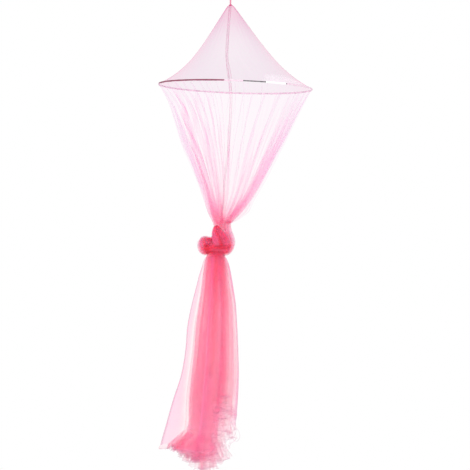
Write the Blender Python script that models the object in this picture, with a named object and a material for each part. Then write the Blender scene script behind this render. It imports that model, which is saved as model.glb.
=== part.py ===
"""Mosquito net canopy with hoop, hung by its loop and tied in a knot of its own net.

World frame in metres, +Z up, +X to the right, -Y to the front. The origin is the
point inside the top of the hanging loop where a ceiling hook bears.
"""

import math

import bmesh
import bpy
from mathutils import Vector

MM = 0.001

# Net
AROUND = 64  # points round a ring of net
WALL = 2.0 * MM  # thickness of a sheet of net

# Hanging loop
CORD_RADIUS = 1.2 * MM
LEG_HALF_GAP = 1.6 * MM
EYE_HALF_WIDTH = 8.0 * MM
LOOP_HEIGHT = 50.0 * MM  # from the hook down to the gathered top of the net
EYE_HEIGHT = 26.0 * MM
EYE_STEPS = 9  # points up each side of the eye
EYE_SWELL_POWER = 1.25  # above 1, the eye is widest in its upper half
SEWN_GAP = 0.3 * MM  # between pieces that are sewn or slipped together

# Hoop
HOOP_RADIUS = 300.0 * MM
HOOP_DROP = 374.0 * MM  # hoop's middle below the hook
HOOP_OFFSET = 19.0 * MM  # hoop's middle right of the hook
HOOP_TILT = math.radians(2.05)  # its right side hangs lower
WIRE_RADIUS = 2.5 * MM
SLEEVE_BORE = 3.1 * MM
SLEEVE_RADIUS = 4.2 * MM
JOINER_RADIUS = 4.0 * MM
TUBE_SIDES = 6
SLEEVE_START, SLEEVE_END = -8, 49  # ring points where the casing starts and ends
JOINER_START, JOINER_END = 52, 55  # ring points that the joining tube spans

# Top cone
APEX_RADIUS = 6.0 * MM
APEX_LENGTH = 14.0 * MM  # solid gathered net at the very top
CONE_STEPS = 7
CONE_SPACING = 0.85  # below 1, rings lie closer together near the hoop
CONE_STRAIGHT = 0.76  # share of the slope that is straight, the rest flares to the hoop
CONE_FLARE_POWER = 5.5
CONE_PANELS = 4
CONE_SAG = 0.012  # how far a panel sags between its seams, as a share of its radius
CONE_END = 0.9935  # where the cone stops, just short of the casing

# Skirt, from the hoop to the neck. One row for each section.
# level below the hook, middle in x, reach of the outermost folds, depth of the folds
SKIRT_SECTIONS = (
    (0.3783, 0.0190, 0.2980, 0.000),
    (0.4400, 0.0200, 0.2660, 0.012),
    (0.5000, 0.0165, 0.2440, 0.030),
    (0.5980, 0.0085, 0.2080, 0.070),
    (0.6680, 0.0045, 0.1770, 0.110),
    (0.7350, 0.0020, 0.1460, 0.160),
    (0.7940, -0.0060, 0.1130, 0.200),
    (0.8520, -0.0180, 0.0780, 0.220),
    (0.8850, -0.0270, 0.0520, 0.220),
    (0.9050, -0.0340, 0.0300, 0.160),
)
SKIRT_CAVITY_END = (0.8930, -0.0290, 0.0260, 0.150)
SKIRT_CAVITY_TIP = 0.8980

# The knot: the route of the gathered net, from its neck to the top of its tail.
# right of the knot's middle, behind it, above it, radius that the net fills if free
KNOT_MIDDLE = (-0.045, 0.0, -0.978)
KNOT_ROUTE = (
    (0.011, 0.004, 0.071, 0.024),
    (0.008, 0.006, 0.050, 0.022),
    (0.016, -0.006, 0.028, 0.029),
    (0.036, -0.008, 0.002, 0.029),
    (0.032, -0.014, -0.022, 0.026),
    (0.006, -0.028, -0.027, 0.024),
    (-0.026, -0.026, -0.028, 0.023),
    (-0.052, -0.010, -0.030, 0.024),
    (-0.060, 0.008, -0.010, 0.022),
    (-0.046, 0.028, 0.006, 0.021),
    (-0.018, 0.038, 0.018, 0.021),
    (0.014, 0.040, 0.036, 0.019),
    (0.034, 0.018, 0.052, 0.014),
    (0.016, -0.020, 0.054, 0.011),
    (-0.014, -0.018, 0.044, 0.014),
    (-0.029, -0.008, 0.020, 0.019),
    (-0.020, 0.006, -0.008, 0.023),
    (-0.012, 0.010, -0.034, 0.024),
    (-0.011, 0.003, -0.054, 0.028),
)
KNOT_AROUND = 16
KNOT_STEPS = 2  # rings for each stretch of the route
KNOT_FLUTES = 4
KNOT_FLUTE_DEPTH = 0.08
KNOT_PRESS = 0.93  # how near to the middle between two strands their net presses
KNOT_CLEARANCE = 0.8 * MM

# Tail, from the knot to the hem. One row for each section.
# level below the hook, middle in x, reach to left, right, front and back, fold depth
TAIL_SECTIONS = (
    (1.034, -0.0560, 0.030, 0.030, 0.030, 0.030, 0.06),
    (1.046, -0.0560, 0.039, 0.038, 0.036, 0.036, 0.12),
    (1.111, -0.0570, 0.055, 0.053, 0.048, 0.046, 0.18),
    (1.208, -0.0580, 0.080, 0.078, 0.066, 0.064, 0.22),
    (1.306, -0.0625, 0.090, 0.091, 0.076, 0.074, 0.22),
    (1.404, -0.0650, 0.101, 0.103, 0.082, 0.082, 0.22),
    (1.502, -0.0700, 0.110, 0.110, 0.090, 0.088, 0.22),
    (1.600, -0.0780, 0.143, 0.119, 0.096, 0.094, 0.24),
    (1.698, -0.0850, 0.164, 0.127, 0.102, 0.100, 0.26),
    (1.780, -0.0950, 0.177, 0.104, 0.104, 0.102, 0.26),
    (1.870, -0.1050, 0.175, 0.095, 0.104, 0.102, 0.26),
)
TAIL_RINGS = 11
TAIL_SPACING = 1.25  # above 1, rings lie closer together near the knot
TAIL_CAVITY_START = 0.08  # ring share down to which the tail is solid gathered net
TAIL_CAVITY_TIP = 1.066

# Main folds, one row each, counted from the right side round by the back.
# depth in the skirt, depth in the tail, sideways lean in degrees, level of the hem
FOLDS = (
    (0.9, 0.8, 2.0, 1.765),
    (0.6, 1.0, -3.0, 1.782),
    (1.0, 0.7, 3.0, 1.806),
    (0.7, 0.9, 0.0, 1.830),
    (1.0, 1.0, -4.0, 1.842),
    (0.5, 0.7, 3.0, 1.850),
    (0.9, 0.9, 0.0, 1.836),
    (1.0, 0.6, -3.0, 1.812),
    (0.7, 1.0, 2.0, 1.786),
    (1.0, 0.8, 4.0, 1.798),
    (0.8, 0.5, -3.0, 1.816),
    (0.6, 1.0, 2.0, 1.850),
    (1.0, 0.7, -2.0, 1.868),
    (0.5, 1.0, 4.0, 1.846),
    (0.9, 0.6, -3.0, 1.842),
    (1.0, 0.9, -2.0, 1.812),
)
POINTS_PER_FOLD = AROUND // len(FOLDS)
FOLD_SHAPE = (0.0, 0.55, 1.0, 0.45)  # ridge, flank, trough, flank


def new_collection(name):
    """Make an empty collection for the parts."""
    collection = bpy.data.collections.new(name)
    bpy.context.scene.collection.children.link(collection)
    return collection


def new_material(name, colour, roughness, metallic=0.0):
    """Make a plain Principled material."""
    material = bpy.data.materials.new(name)
    material.use_nodes = True
    shader = material.node_tree.nodes["Principled BSDF"]
    shader.inputs["Base Color"].default_value = (*colour, 1.0)
    shader.inputs["Roughness"].default_value = roughness
    shader.inputs["Metallic"].default_value = metallic
    return material


class Surface:
    """Collects rings of points and joins them into one closed mesh."""

    def __init__(self):
        self.mesh = bmesh.new()

    def ring(self, points):
        """Add a ring of points and return its vertices."""
        return [self.mesh.verts.new(point) for point in points]

    def bridge(self, first, second):
        """Join two rings; the first may have a whole multiple of the second's points."""
        ratio = len(first) // len(second)
        for index, corner in enumerate(second):
            following = second[(index + 1) % len(second)]
            start = index * ratio
            for offset in range(ratio):
                here = first[start + offset]
                ahead = first[(start + offset + 1) % len(first)]
                if offset < ratio - 1:
                    self.mesh.faces.new((here, ahead, corner))
                else:
                    self.mesh.faces.new((here, ahead, following, corner))

    def bridge_all(self, rings):
        """Join each ring to the next."""
        for first, second in zip(rings, rings[1:]):
            self.bridge(first, second)

    def close(self, ring, tip):
        """Close a ring with a fan of triangles to one point."""
        pole = self.mesh.verts.new(tip)
        for index, corner in enumerate(ring):
            self.mesh.faces.new((corner, ring[(index + 1) % len(ring)], pole))

    def cap(self, ring):
        """Close a ring with one flat face."""
        self.mesh.faces.new(ring)

    def finish(self, name, material, collection):
        """Turn the faces outwards and make the object."""
        bmesh.ops.recalc_face_normals(self.mesh, faces=self.mesh.faces)
        data = bpy.data.meshes.new(name)
        self.mesh.to_mesh(data)
        self.mesh.free()
        data.materials.append(material)
        data.shade_smooth()
        data.set_sharp_from_angle(angle=math.radians(40))
        piece = bpy.data.objects.new(name, data)
        collection.objects.link(piece)
        return piece


def azimuth_of(index):
    """Angle of a ring point, from the right side round by the back."""
    return 2 * math.pi * index / AROUND


def hoop_point(azimuth, radius, rise):
    """A point at this radius and height from the hoop's middle, in its tilted plane."""
    across = radius * math.cos(azimuth)
    return Vector((
        HOOP_OFFSET + across * math.cos(HOOP_TILT) + rise * math.sin(HOOP_TILT),
        radius * math.sin(azimuth),
        -HOOP_DROP - across * math.sin(HOOP_TILT) + rise * math.cos(HOOP_TILT),
    ))


def build_hanging_loop(material, collection):
    """A doubled cord, sewn together at the foot and open at the top in an eye."""
    foot = -LOOP_HEIGHT + SEWN_GAP + CORD_RADIUS
    crown = CORD_RADIUS
    neck = crown - EYE_HEIGHT
    side = [
        Vector((LEG_HALF_GAP * 0.6, 0, foot)),
        Vector((LEG_HALF_GAP, 0, foot + LEG_HALF_GAP)),
        Vector((LEG_HALF_GAP, 0, (foot + neck) / 2)),
        Vector((LEG_HALF_GAP, 0, neck)),
    ]
    for step in range(1, EYE_STEPS):
        share = step / EYE_STEPS
        swell = math.sin(math.pi * share ** EYE_SWELL_POWER)
        rise = EYE_HEIGHT * (1 - math.cos(math.pi * share)) / 2
        half = LEG_HALF_GAP * (1 - share) + (EYE_HALF_WIDTH - LEG_HALF_GAP / 2) * swell
        side.append(Vector((half, 0, neck + rise)))
    side.append(Vector((LEG_HALF_GAP * 0.9, 0, crown)))
    mirrored = [Vector((-point.x, 0, point.z)) for point in reversed(side)]
    route = side + mirrored

    curve = bpy.data.curves.new("hanging_loop_route", "CURVE")
    curve.dimensions = "3D"
    curve.bevel_depth = CORD_RADIUS
    curve.bevel_resolution = 2
    spline = curve.splines.new("POLY")
    spline.points.add(len(route) - 1)
    for point, place in zip(spline.points, route):
        point.co = (*place, 1.0)
    spline.use_cyclic_u = True
    curve.materials.append(material)
    piece = bpy.data.objects.new("hanging_loop", curve)
    collection.objects.link(piece)
    return piece


def cone_profile(share):
    """Radius of the cone as a share of the hoop's, at this share of the way down."""
    flare = (1 - CONE_STRAIGHT) * share ** CONE_FLARE_POWER
    return CONE_STRAIGHT * share + flare


def cone_slope(share):
    """How fast the cone's profile widens at this share of the way down."""
    flare = (1 - CONE_STRAIGHT) * CONE_FLARE_POWER * share ** (CONE_FLARE_POWER - 1)
    return CONE_STRAIGHT + flare


def cone_ring(share, inset):
    """A ring of the cone at this share of the way down, set in from its outside."""
    drop = HOOP_DROP - LOOP_HEIGHT
    widening = HOOP_RADIUS * cone_slope(share)
    length = math.hypot(widening, drop)
    radius = APEX_RADIUS * (1 - share) + HOOP_RADIUS * cone_profile(share)
    radius -= inset * drop / length
    level = -LOOP_HEIGHT - drop * share - inset * widening / length
    slack = CONE_SAG * math.sin(math.pi * share) * radius
    points = []
    for index in range(AROUND):
        azimuth = azimuth_of(index)
        sag = slack * math.sin(CONE_PANELS / 2 * (azimuth + math.pi / 2)) ** 2
        across = (radius - sag) * math.cos(azimuth)
        points.append(Vector((
            HOOP_OFFSET * share + across,
            (radius - sag) * math.sin(azimuth),
            level - across * math.tan(HOOP_TILT * share),
        )))
    return points


def build_cone(material, collection):
    """The pointed top of the net, hollow and open at the hoop."""
    surface = Surface()
    shares = [
        CONE_END * (step / CONE_STEPS) ** CONE_SPACING for step in range(CONE_STEPS + 1)
    ]
    outside = [surface.ring(cone_ring(share, 0.0)) for share in shares]
    hollow = [share for share in shares if share * HOOP_DROP > APEX_LENGTH]
    inside = [surface.ring(cone_ring(share, WALL)) for share in hollow]
    surface.cap(outside[0])
    surface.bridge_all(outside)
    surface.bridge(outside[-1], inside[-1])
    surface.bridge_all(inside)
    surface.close(inside[0], (0.0, 0.0, -LOOP_HEIGHT - APEX_LENGTH))
    return surface.finish("cone_net", material, collection)


def tube_ring(index, radius):
    """A ring round the hoop's wire at one of the ring points."""
    points = []
    for side in range(TUBE_SIDES):
        turn = 2 * math.pi * side / TUBE_SIDES
        out = HOOP_RADIUS + radius * math.cos(turn)
        points.append(hoop_point(azimuth_of(index), out, radius * math.sin(turn)))
    return points


def build_hoop_tube(name, start, end, bore, radius, material, collection):
    """A tube slipped over the hoop's wire, from one ring point to another."""
    surface = Surface()
    spans = range(start, end + 1)
    outside = [surface.ring(tube_ring(index, radius)) for index in spans]
    inside = [surface.ring(tube_ring(index, bore)) for index in spans]
    surface.bridge_all(outside)
    surface.bridge_all(inside)
    surface.bridge(outside[0], inside[0])
    surface.bridge(outside[-1], inside[-1])
    return surface.finish(name, material, collection)


def build_hoop_wire(material, collection):
    """The closed ring of steel wire."""
    bpy.ops.mesh.primitive_torus_add(
        major_radius=HOOP_RADIUS,
        minor_radius=WIRE_RADIUS,
        major_segments=AROUND,
        minor_segments=TUBE_SIDES,
        location=(HOOP_OFFSET, 0.0, -HOOP_DROP),
        rotation=(0.0, HOOP_TILT, 0.0),
    )
    piece = bpy.context.object
    piece.name = "hoop_wire"
    piece.data.materials.append(material)
    piece.data.shade_smooth()
    for owner in list(piece.users_collection):
        owner.objects.unlink(piece)
    collection.objects.link(piece)
    return piece


def fold_at(index):
    """(row of FOLDS, share of its trough, lean in radians) at a ring point."""
    fold, place = divmod(index, POINTS_PER_FOLD)
    following = FOLDS[(fold + 1) % len(FOLDS)]
    blend = place / POINTS_PER_FOLD
    lean = FOLDS[fold][2] * (1 - blend) + following[2] * blend
    return FOLDS[fold], FOLD_SHAPE[place], math.radians(lean)


def skirt_ring(section, inset, share):
    """A ring of the skirt. share is how far down it is, from hoop to neck."""
    level, middle, reach, depth = section
    points = []
    for index in range(AROUND):
        fold, trough, lean = fold_at(index)
        azimuth = azimuth_of(index) + lean * share
        radius = reach * (1 - depth * fold[0] * trough) - inset
        across = radius * math.cos(azimuth)
        fall = across * math.tan(HOOP_TILT) * (1 - share)
        points.append(Vector((middle + across, radius * math.sin(azimuth), -level - fall)))
    return points


def between(rows, level):
    """The section at this level, read between the rows of a table."""
    for above, below in zip(rows, rows[1:]):
        if level <= below[0]:
            break
    blend = (level - above[0]) / (below[0] - above[0])
    return [a * (1 - blend) + b * blend for a, b in zip(above, below)]


def hem_level(index):
    """How far below the hook the hem is at a ring point."""
    fold, place = divmod(index, POINTS_PER_FOLD)
    blend = place / POINTS_PER_FOLD
    return FOLDS[fold][3] * (1 - blend) + FOLDS[(fold + 1) % len(FOLDS)][3] * blend


def tail_ring(share, inset):
    """A ring of the tail, at this share of the way from the knot to the hem."""
    top = TAIL_SECTIONS[0][0]
    points = []
    for index in range(AROUND):
        level = top + share ** TAIL_SPACING * (hem_level(index) - top)
        _, middle, left, right, front, back, depth = between(TAIL_SECTIONS, level)
        fold, trough, lean = fold_at(index)
        azimuth = azimuth_of(index) + lean * min(1.0, 2 * share)
        across = right if math.cos(azimuth) > 0 else left
        along = back if math.sin(azimuth) > 0 else front
        shrink = 1 - depth * fold[1] * trough - inset / min(across, along)
        points.append(Vector((
            middle + across * shrink * math.cos(azimuth),
            along * shrink * math.sin(azimuth),
            -level,
        )))
    return points


def on_route(rows, stretch, share):
    """A point and radius on the smooth curve through a table's rows."""
    last = len(rows) - 1
    before, start, end, after = (
        rows[min(max(stretch + shift, 0), last)] for shift in (-1, 0, 1, 2)
    )
    values = []
    for p, a, b, n in zip(before, start, end, after):
        slope_in, slope_out = (b - p) / 2, (n - a) / 2
        square, cube = share * share, share ** 3
        values.append(
            (2 * cube - 3 * square + 1) * a
            + (cube - 2 * square + share) * slope_in
            + (3 * square - 2 * cube) * b
            + (cube - square) * slope_out
        )
    return Vector(values[:3]), values[3]


def free_radius(places, here, aim):
    """How far the net at one place can swell this way before it meets another strand."""
    nearest = math.inf
    for there in places:
        apart = there - places[here]
        towards = apart.dot(aim)
        if towards > 1e-9:
            nearest = min(nearest, apart.length_squared / (2 * towards))
    return KNOT_PRESS * nearest - KNOT_CLEARANCE


def knot_frames(places):
    """(side, across) for each place on the knot's route, with no twist at its end."""
    down = Vector((0.0, 0.0, -1.0))
    tangents = [(b - a).normalized() for a, b in zip(places, places[2:])]
    tangents = [down, *tangents, down]
    side = Vector((1.0, 0.0, 0.0))
    sides = [side]
    for before, after in zip(tangents, tangents[1:]):
        side = before.rotation_difference(after) @ side
        sides.append((side - after * side.dot(after)).normalized())
    twist = math.atan2(sides[-1].y, sides[-1].x)
    frames = []
    for index, (tangent, side) in enumerate(zip(tangents, sides)):
        across = tangent.cross(side)
        untwist = twist * index / (len(places) - 1)
        frames.append((
            side * math.cos(untwist) + across * math.sin(untwist),
            across * math.cos(untwist) - side * math.sin(untwist),
        ))
    return frames


def knot_rings():
    """Rings of gathered net along the knot's route, pressed flat where strands meet."""
    steps = [
        (stretch, step / KNOT_STEPS)
        for stretch in range(len(KNOT_ROUTE) - 1)
        for step in range(KNOT_STEPS)
    ]
    steps.append((len(KNOT_ROUTE) - 2, 1.0))
    places, radii = zip(*(on_route(KNOT_ROUTE, *step) for step in steps))
    rings = []
    for here, (side, across) in enumerate(knot_frames(places)):
        ring = []
        for corner in range(KNOT_AROUND):
            turn = -2 * math.pi * corner / KNOT_AROUND
            aim = side * math.cos(turn) + across * math.sin(turn)
            flute = 1 - KNOT_FLUTE_DEPTH * math.sin(KNOT_FLUTES * turn / 2) ** 2
            swell = min(radii[here] * flute, free_radius(places, here, aim))
            ring.append(Vector(KNOT_MIDDLE) + places[here] + aim * swell)
        rings.append(ring)
    return rings


def build_skirt(material, collection):
    """The net from the hoop through its neck, knot and tail to the hem, in one piece."""
    surface = Surface()
    last = len(SKIRT_SECTIONS) - 1
    outside = [
        surface.ring(skirt_ring(section, 0.0, row / last))
        for row, section in enumerate(SKIRT_SECTIONS)
    ]
    inside = [
        surface.ring(skirt_ring(section, WALL, row / last))
        for row, section in enumerate(SKIRT_SECTIONS[:-1])
    ]
    inside.append(surface.ring(skirt_ring(SKIRT_CAVITY_END, 0.0, 1.0)))
    surface.bridge_all(outside)
    surface.bridge(outside[0], inside[0])
    surface.bridge_all(inside)
    surface.close(inside[-1], (SKIRT_CAVITY_END[1], 0.0, -SKIRT_CAVITY_TIP))

    knot = [surface.ring(ring) for ring in knot_rings()]
    surface.bridge(outside[-1], knot[0])
    surface.bridge_all(knot)

    shares = [step / (TAIL_RINGS - 1) for step in range(TAIL_RINGS)]
    tail = [surface.ring(tail_ring(share, 0.0)) for share in shares]
    hollow = [max(share, TAIL_CAVITY_START) for share in shares]
    cavity = [surface.ring(tail_ring(share, WALL)) for share in hollow]
    surface.bridge(tail[0], knot[-1])
    surface.bridge_all(tail)
    surface.bridge(tail[-1], cavity[-1])
    surface.bridge_all(cavity)
    surface.close(cavity[0], (TAIL_SECTIONS[0][1], 0.0, -TAIL_CAVITY_TIP))
    return surface.finish("skirt_net", material, collection)


def main():
    """Build the canopy."""
    for old in list(bpy.data.objects):
        bpy.data.objects.remove(old, do_unlink=True)
    collection = new_collection("mosquito_net_canopy")
    sheer = new_material("sheer_net", (0.95, 0.55, 0.68), 0.8)
    gathered = new_material("gathered_net", (0.90, 0.25, 0.42), 0.8)
    casing = new_material("casing_tape", (0.62, 0.14, 0.26), 0.85)
    cord = new_material("loop_cord", (0.80, 0.20, 0.35), 0.8)
    steel = new_material("spring_steel", (0.45, 0.45, 0.47), 0.35, 1.0)
    plastic = new_material("joiner_plastic", (0.90, 0.90, 0.90), 0.4)

    build_hanging_loop(cord, collection)
    build_cone(sheer, collection)
    build_hoop_wire(steel, collection)
    build_hoop_tube("hoop_joiner", JOINER_START, JOINER_END, SLEEVE_BORE,
                    JOINER_RADIUS, plastic, collection)
    build_hoop_tube("hoop_sleeve", SLEEVE_START, SLEEVE_END, SLEEVE_BORE,
                    SLEEVE_RADIUS, casing, collection)
    build_skirt(gathered, collection)


main()
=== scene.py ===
"""Looks of a hanging mosquito net canopy: pointed roof, hoop, skirt, knot, tail and hem.

The origin is the point inside the top of the hanging loop where a hook bears, in
metres, +Z up, +X to the right and -Y to the front. Azimuths run from the right side
round by the back: 90 degrees is the back and 270 degrees the front.
"""

import logging
import math
from collections.abc import Sequence
from dataclasses import dataclass, field
from enum import Enum
from functools import cache

import bpy
import numpy as np
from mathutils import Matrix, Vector


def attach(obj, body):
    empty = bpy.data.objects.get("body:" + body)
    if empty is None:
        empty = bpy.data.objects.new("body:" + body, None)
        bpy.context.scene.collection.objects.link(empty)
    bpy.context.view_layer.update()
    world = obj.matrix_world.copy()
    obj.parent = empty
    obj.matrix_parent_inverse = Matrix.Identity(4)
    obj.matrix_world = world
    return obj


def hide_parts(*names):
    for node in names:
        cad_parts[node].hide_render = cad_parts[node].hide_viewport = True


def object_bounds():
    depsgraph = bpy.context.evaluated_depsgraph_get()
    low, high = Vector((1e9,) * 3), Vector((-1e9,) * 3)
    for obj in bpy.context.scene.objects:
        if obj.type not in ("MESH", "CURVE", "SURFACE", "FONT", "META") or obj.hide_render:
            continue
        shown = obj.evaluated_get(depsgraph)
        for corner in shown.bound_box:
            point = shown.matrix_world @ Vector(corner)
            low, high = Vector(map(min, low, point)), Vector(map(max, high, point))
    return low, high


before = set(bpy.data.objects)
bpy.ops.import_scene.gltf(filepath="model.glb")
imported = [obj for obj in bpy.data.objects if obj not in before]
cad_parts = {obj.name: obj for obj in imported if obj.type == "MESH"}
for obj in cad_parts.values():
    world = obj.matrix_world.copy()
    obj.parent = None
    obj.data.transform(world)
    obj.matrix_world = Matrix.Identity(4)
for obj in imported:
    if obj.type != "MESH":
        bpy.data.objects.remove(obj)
CAD_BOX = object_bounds()
LOG = logging.getLogger("mosquito_net_canopy")

MM = 0.001
TURN = 2.0 * math.pi
BODY = "root"
Array = np.ndarray
Colour = tuple[float, float, float]
Material = bpy.types.Material
Object = bpy.types.Object
Rows = Sequence[Sequence[float]]


class Slot(Enum):
    """The record's material slots."""

    NET = "net"
    LOOP_CORD = "loop_cord"
    CASING = "casing"
    JOINER = "joiner"


# ---------------------------------------------------------------------------
# Measuring and meshes
# ---------------------------------------------------------------------------


def along(rows: Rows, at: Array) -> Array:
    """Read a table between its rows, on a smooth curve through them.

    Args:
        rows: Rows of numbers, the first column rising.
        at: Places in the first column, in an array of any shape.

    Returns:
        The other columns at those places, along a new last axis.
    """
    table = np.asarray(rows, float)
    stops, values = table[:, 0], table[:, 1:]
    slopes = np.gradient(values, stops, axis=0)
    at = np.clip(np.asarray(at, float), stops[0], stops[-1])
    index = np.clip(np.searchsorted(stops, at) - 1, 0, len(stops) - 2)
    span = (stops[index + 1] - stops[index])[..., None]
    share = ((at - stops[index])[..., None]) / span
    square, cube = share**2, share**3
    return (
        (2 * cube - 3 * square + 1) * values[index]
        + (cube - 2 * square + share) * span * slopes[index]
        + (3 * square - 2 * cube) * values[index + 1]
        + (cube - square) * span * slopes[index + 1]
    )


def through(rows: Rows, count: int) -> Array:
    """Evenly spaced points on a smooth curve through each row in turn.

    Args:
        rows: Rows of numbers, such as points.
        count: How many places to read.

    Returns:
        The rows read at those places.
    """
    table = np.asarray(rows, float)
    keyed = np.column_stack((np.arange(len(table), dtype=float), table))
    return along(keyed, np.linspace(0.0, len(table) - 1.0, count))


def straight(at: Array, stops: Array, table: Array) -> Array:
    """Read each column of a table at some places, on straight lines between its rows."""
    return np.stack([np.interp(at, stops, column) for column in table.T], axis=-1)


def joined(*parts: Array | float) -> Array:
    """Stack coordinates along a new last axis, each spread to their common shape."""
    return np.stack(np.broadcast_arrays(*parts), axis=-1)


def unit(ways: Array, least: float = 1e-9) -> Array:
    """Direction of each row, of length 1 unless the row is shorter than the least."""
    return ways / np.maximum(np.linalg.norm(ways, axis=1)[:, None], least)


def heading(line: Array, step: int) -> Array:
    """Direction along a closed line at each point, from a few points either side."""
    return unit(np.roll(line, -step, axis=0) - np.roll(line, step, axis=0))


def totals(steps: Array) -> Array:
    """Running total of some steps, from 0."""
    return np.concatenate(([0.0], np.cumsum(steps)))


def travelled(points: Array) -> Array:
    """Length of the way from the first point to each point."""
    return totals(np.linalg.norm(np.diff(points, axis=0), axis=1))


def looped(values: Array) -> Array:
    """Values round a loop, with the first one again at the end."""
    return np.concatenate((values, values[:1]))


def around(count: int) -> Array:
    """Even angles round a full turn."""
    return TURN * np.arange(count) / count


def round_trip(angle: Array, middle: float) -> Array:
    """Signed turn from a middle angle to each angle, the short way round."""
    return (angle - middle + math.pi) % TURN - math.pi


def bell(distance: Array, width: float) -> Array:
    """A smooth bump of height 1 and this width."""
    return np.exp(-0.5 * (distance / width) ** 2)


def lobe(azimuth: Array, degrees: float, half_width: float) -> Array:
    """A smooth bump round the hoop, its middle and width in degrees."""
    return bell(round_trip(azimuth, math.radians(degrees)), math.radians(half_width))


def ease(share: Array | float) -> Array:
    """A smooth step from 0 to 1."""
    share = np.clip(share, 0.0, 1.0)
    return share**2 * (3.0 - 2.0 * share)


def link(item: Object) -> Object:
    """Put a new object into the scene."""
    bpy.context.scene.collection.objects.link(item)
    return item


@dataclass
class Lay:
    """How a piece of net lies.

    Attributes:
        near: Places on the flat cloth, in metres, of each face's near column.
        far: The same for each face's far column.
        crowding_and_shade: How tightly it is gathered, from 0 where it is sheer to 1 in a
            crease; in the knot it also carries painted shade and painted light.
        closeness: How close its threads lie, 1 for the net as it was knitted.
    """

    near: Array
    far: Array
    crowding_and_shade: Array | float = 0.0
    closeness: Array | float = 1.0

    @classmethod
    def blank(cls, rows: int, columns: int) -> "Lay":
        """Room for a lay that is filled in row by row."""
        return cls(*np.empty((2, rows, columns, 2)), *np.empty((2, rows, columns)))

    @classmethod
    def strip(cls, places: Array, crowding_and_shade: float, closeness: Array | float) -> "Lay":
        """A strip that doesn't wrap, from the flat places of its points."""
        return cls(places[:, :-1], places[:, 1:], crowding_and_shade, closeness)


def surface_mesh(
    name: str, grid: Array, material: Material, wraps: bool = True, lay: Lay | None = None
) -> Object:
    """Join rows of points into one smooth surface, which faces along row x column.

    Args:
        name: Name of the piece.
        grid: Points, rows x columns x 3.
        material: Finish of the surface.
        wraps: Whether the last column joins the first.
        lay: How the cloth lies, where the surface is net.

    Returns:
        The new object.
    """
    rows, columns = grid.shape[:2]
    spans = columns if wraps else columns - 1
    row = np.arange(rows - 1)[:, None]
    column = np.arange(spans)[None, :]
    after = (column + 1) % columns
    near, far = row * columns + column, row * columns + after
    faces = np.stack((near, near + columns, far + columns, far), axis=-1).reshape(-1, 4)
    mesh = bpy.data.meshes.new(name)
    mesh.vertices.add(rows * columns)
    mesh.vertices.foreach_set("co", grid.reshape(-1).astype(np.float32))
    mesh.loops.add(faces.size)
    mesh.loops.foreach_set("vertex_index", faces.reshape(-1).astype(np.int32))
    mesh.polygons.add(len(faces))
    mesh.polygons.foreach_set("loop_start", np.arange(0, faces.size, 4, dtype=np.int32))
    mesh.update(calc_edges=True)
    if lay is not None:
        first, second = lay.near[:, :spans], lay.far[:, :spans]
        places = np.stack((first[:-1], first[1:], second[1:], second[:-1]), axis=2)
        layer = mesh.uv_layers.new(name="cloth")
        layer.data.foreach_set("uv", places.reshape(-1).astype(np.float32))
        for label in ("crowding_and_shade", "closeness"):
            values = np.broadcast_to(getattr(lay, label), (rows, columns))
            layer = mesh.attributes.new(label, "FLOAT", "POINT")
            layer.data.foreach_set("value", values.reshape(-1).astype(np.float32))
    mesh.shade_smooth()
    mesh.materials.append(material)
    mesh.validate()
    return link(bpy.data.objects.new(name, mesh))


def path_mesh(name: str, paths: Sequence[Array], closed: bool) -> Object:
    """Make an object of bare edges along each path.

    Args:
        name: Name of the object.
        paths: Points of each path.
        closed: Whether each path's end joins its start.

    Returns:
        The new object.
    """
    places = np.concatenate(paths)
    edges, start = [], 0
    for path in paths:
        index = np.arange(len(path) if closed else len(path) - 1)
        edges.append(np.stack((index, (index + 1) % len(path)), axis=-1) + start)
        start += len(path)
    mesh = bpy.data.meshes.new(name)
    mesh.from_pydata(places.tolist(), np.concatenate(edges).tolist(), [])
    return link(bpy.data.objects.new(name, mesh))


def dress(piece: Object, slot: Slot, *nodes: str) -> None:
    """Let a piece ride on the body, and hide the solids that it replaces.

    Args:
        piece: The finished piece.
        slot: Not used.
        *nodes: Solids that it replaces.
    """
    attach(piece, BODY)
    if nodes:
        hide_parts(*nodes)
    LOG.info("%s: %d faces", piece.name, len(piece.data.polygons))


# ---------------------------------------------------------------------------
# Node trees, and the threads and stitches that Geometry Nodes make along paths
# ---------------------------------------------------------------------------


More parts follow.
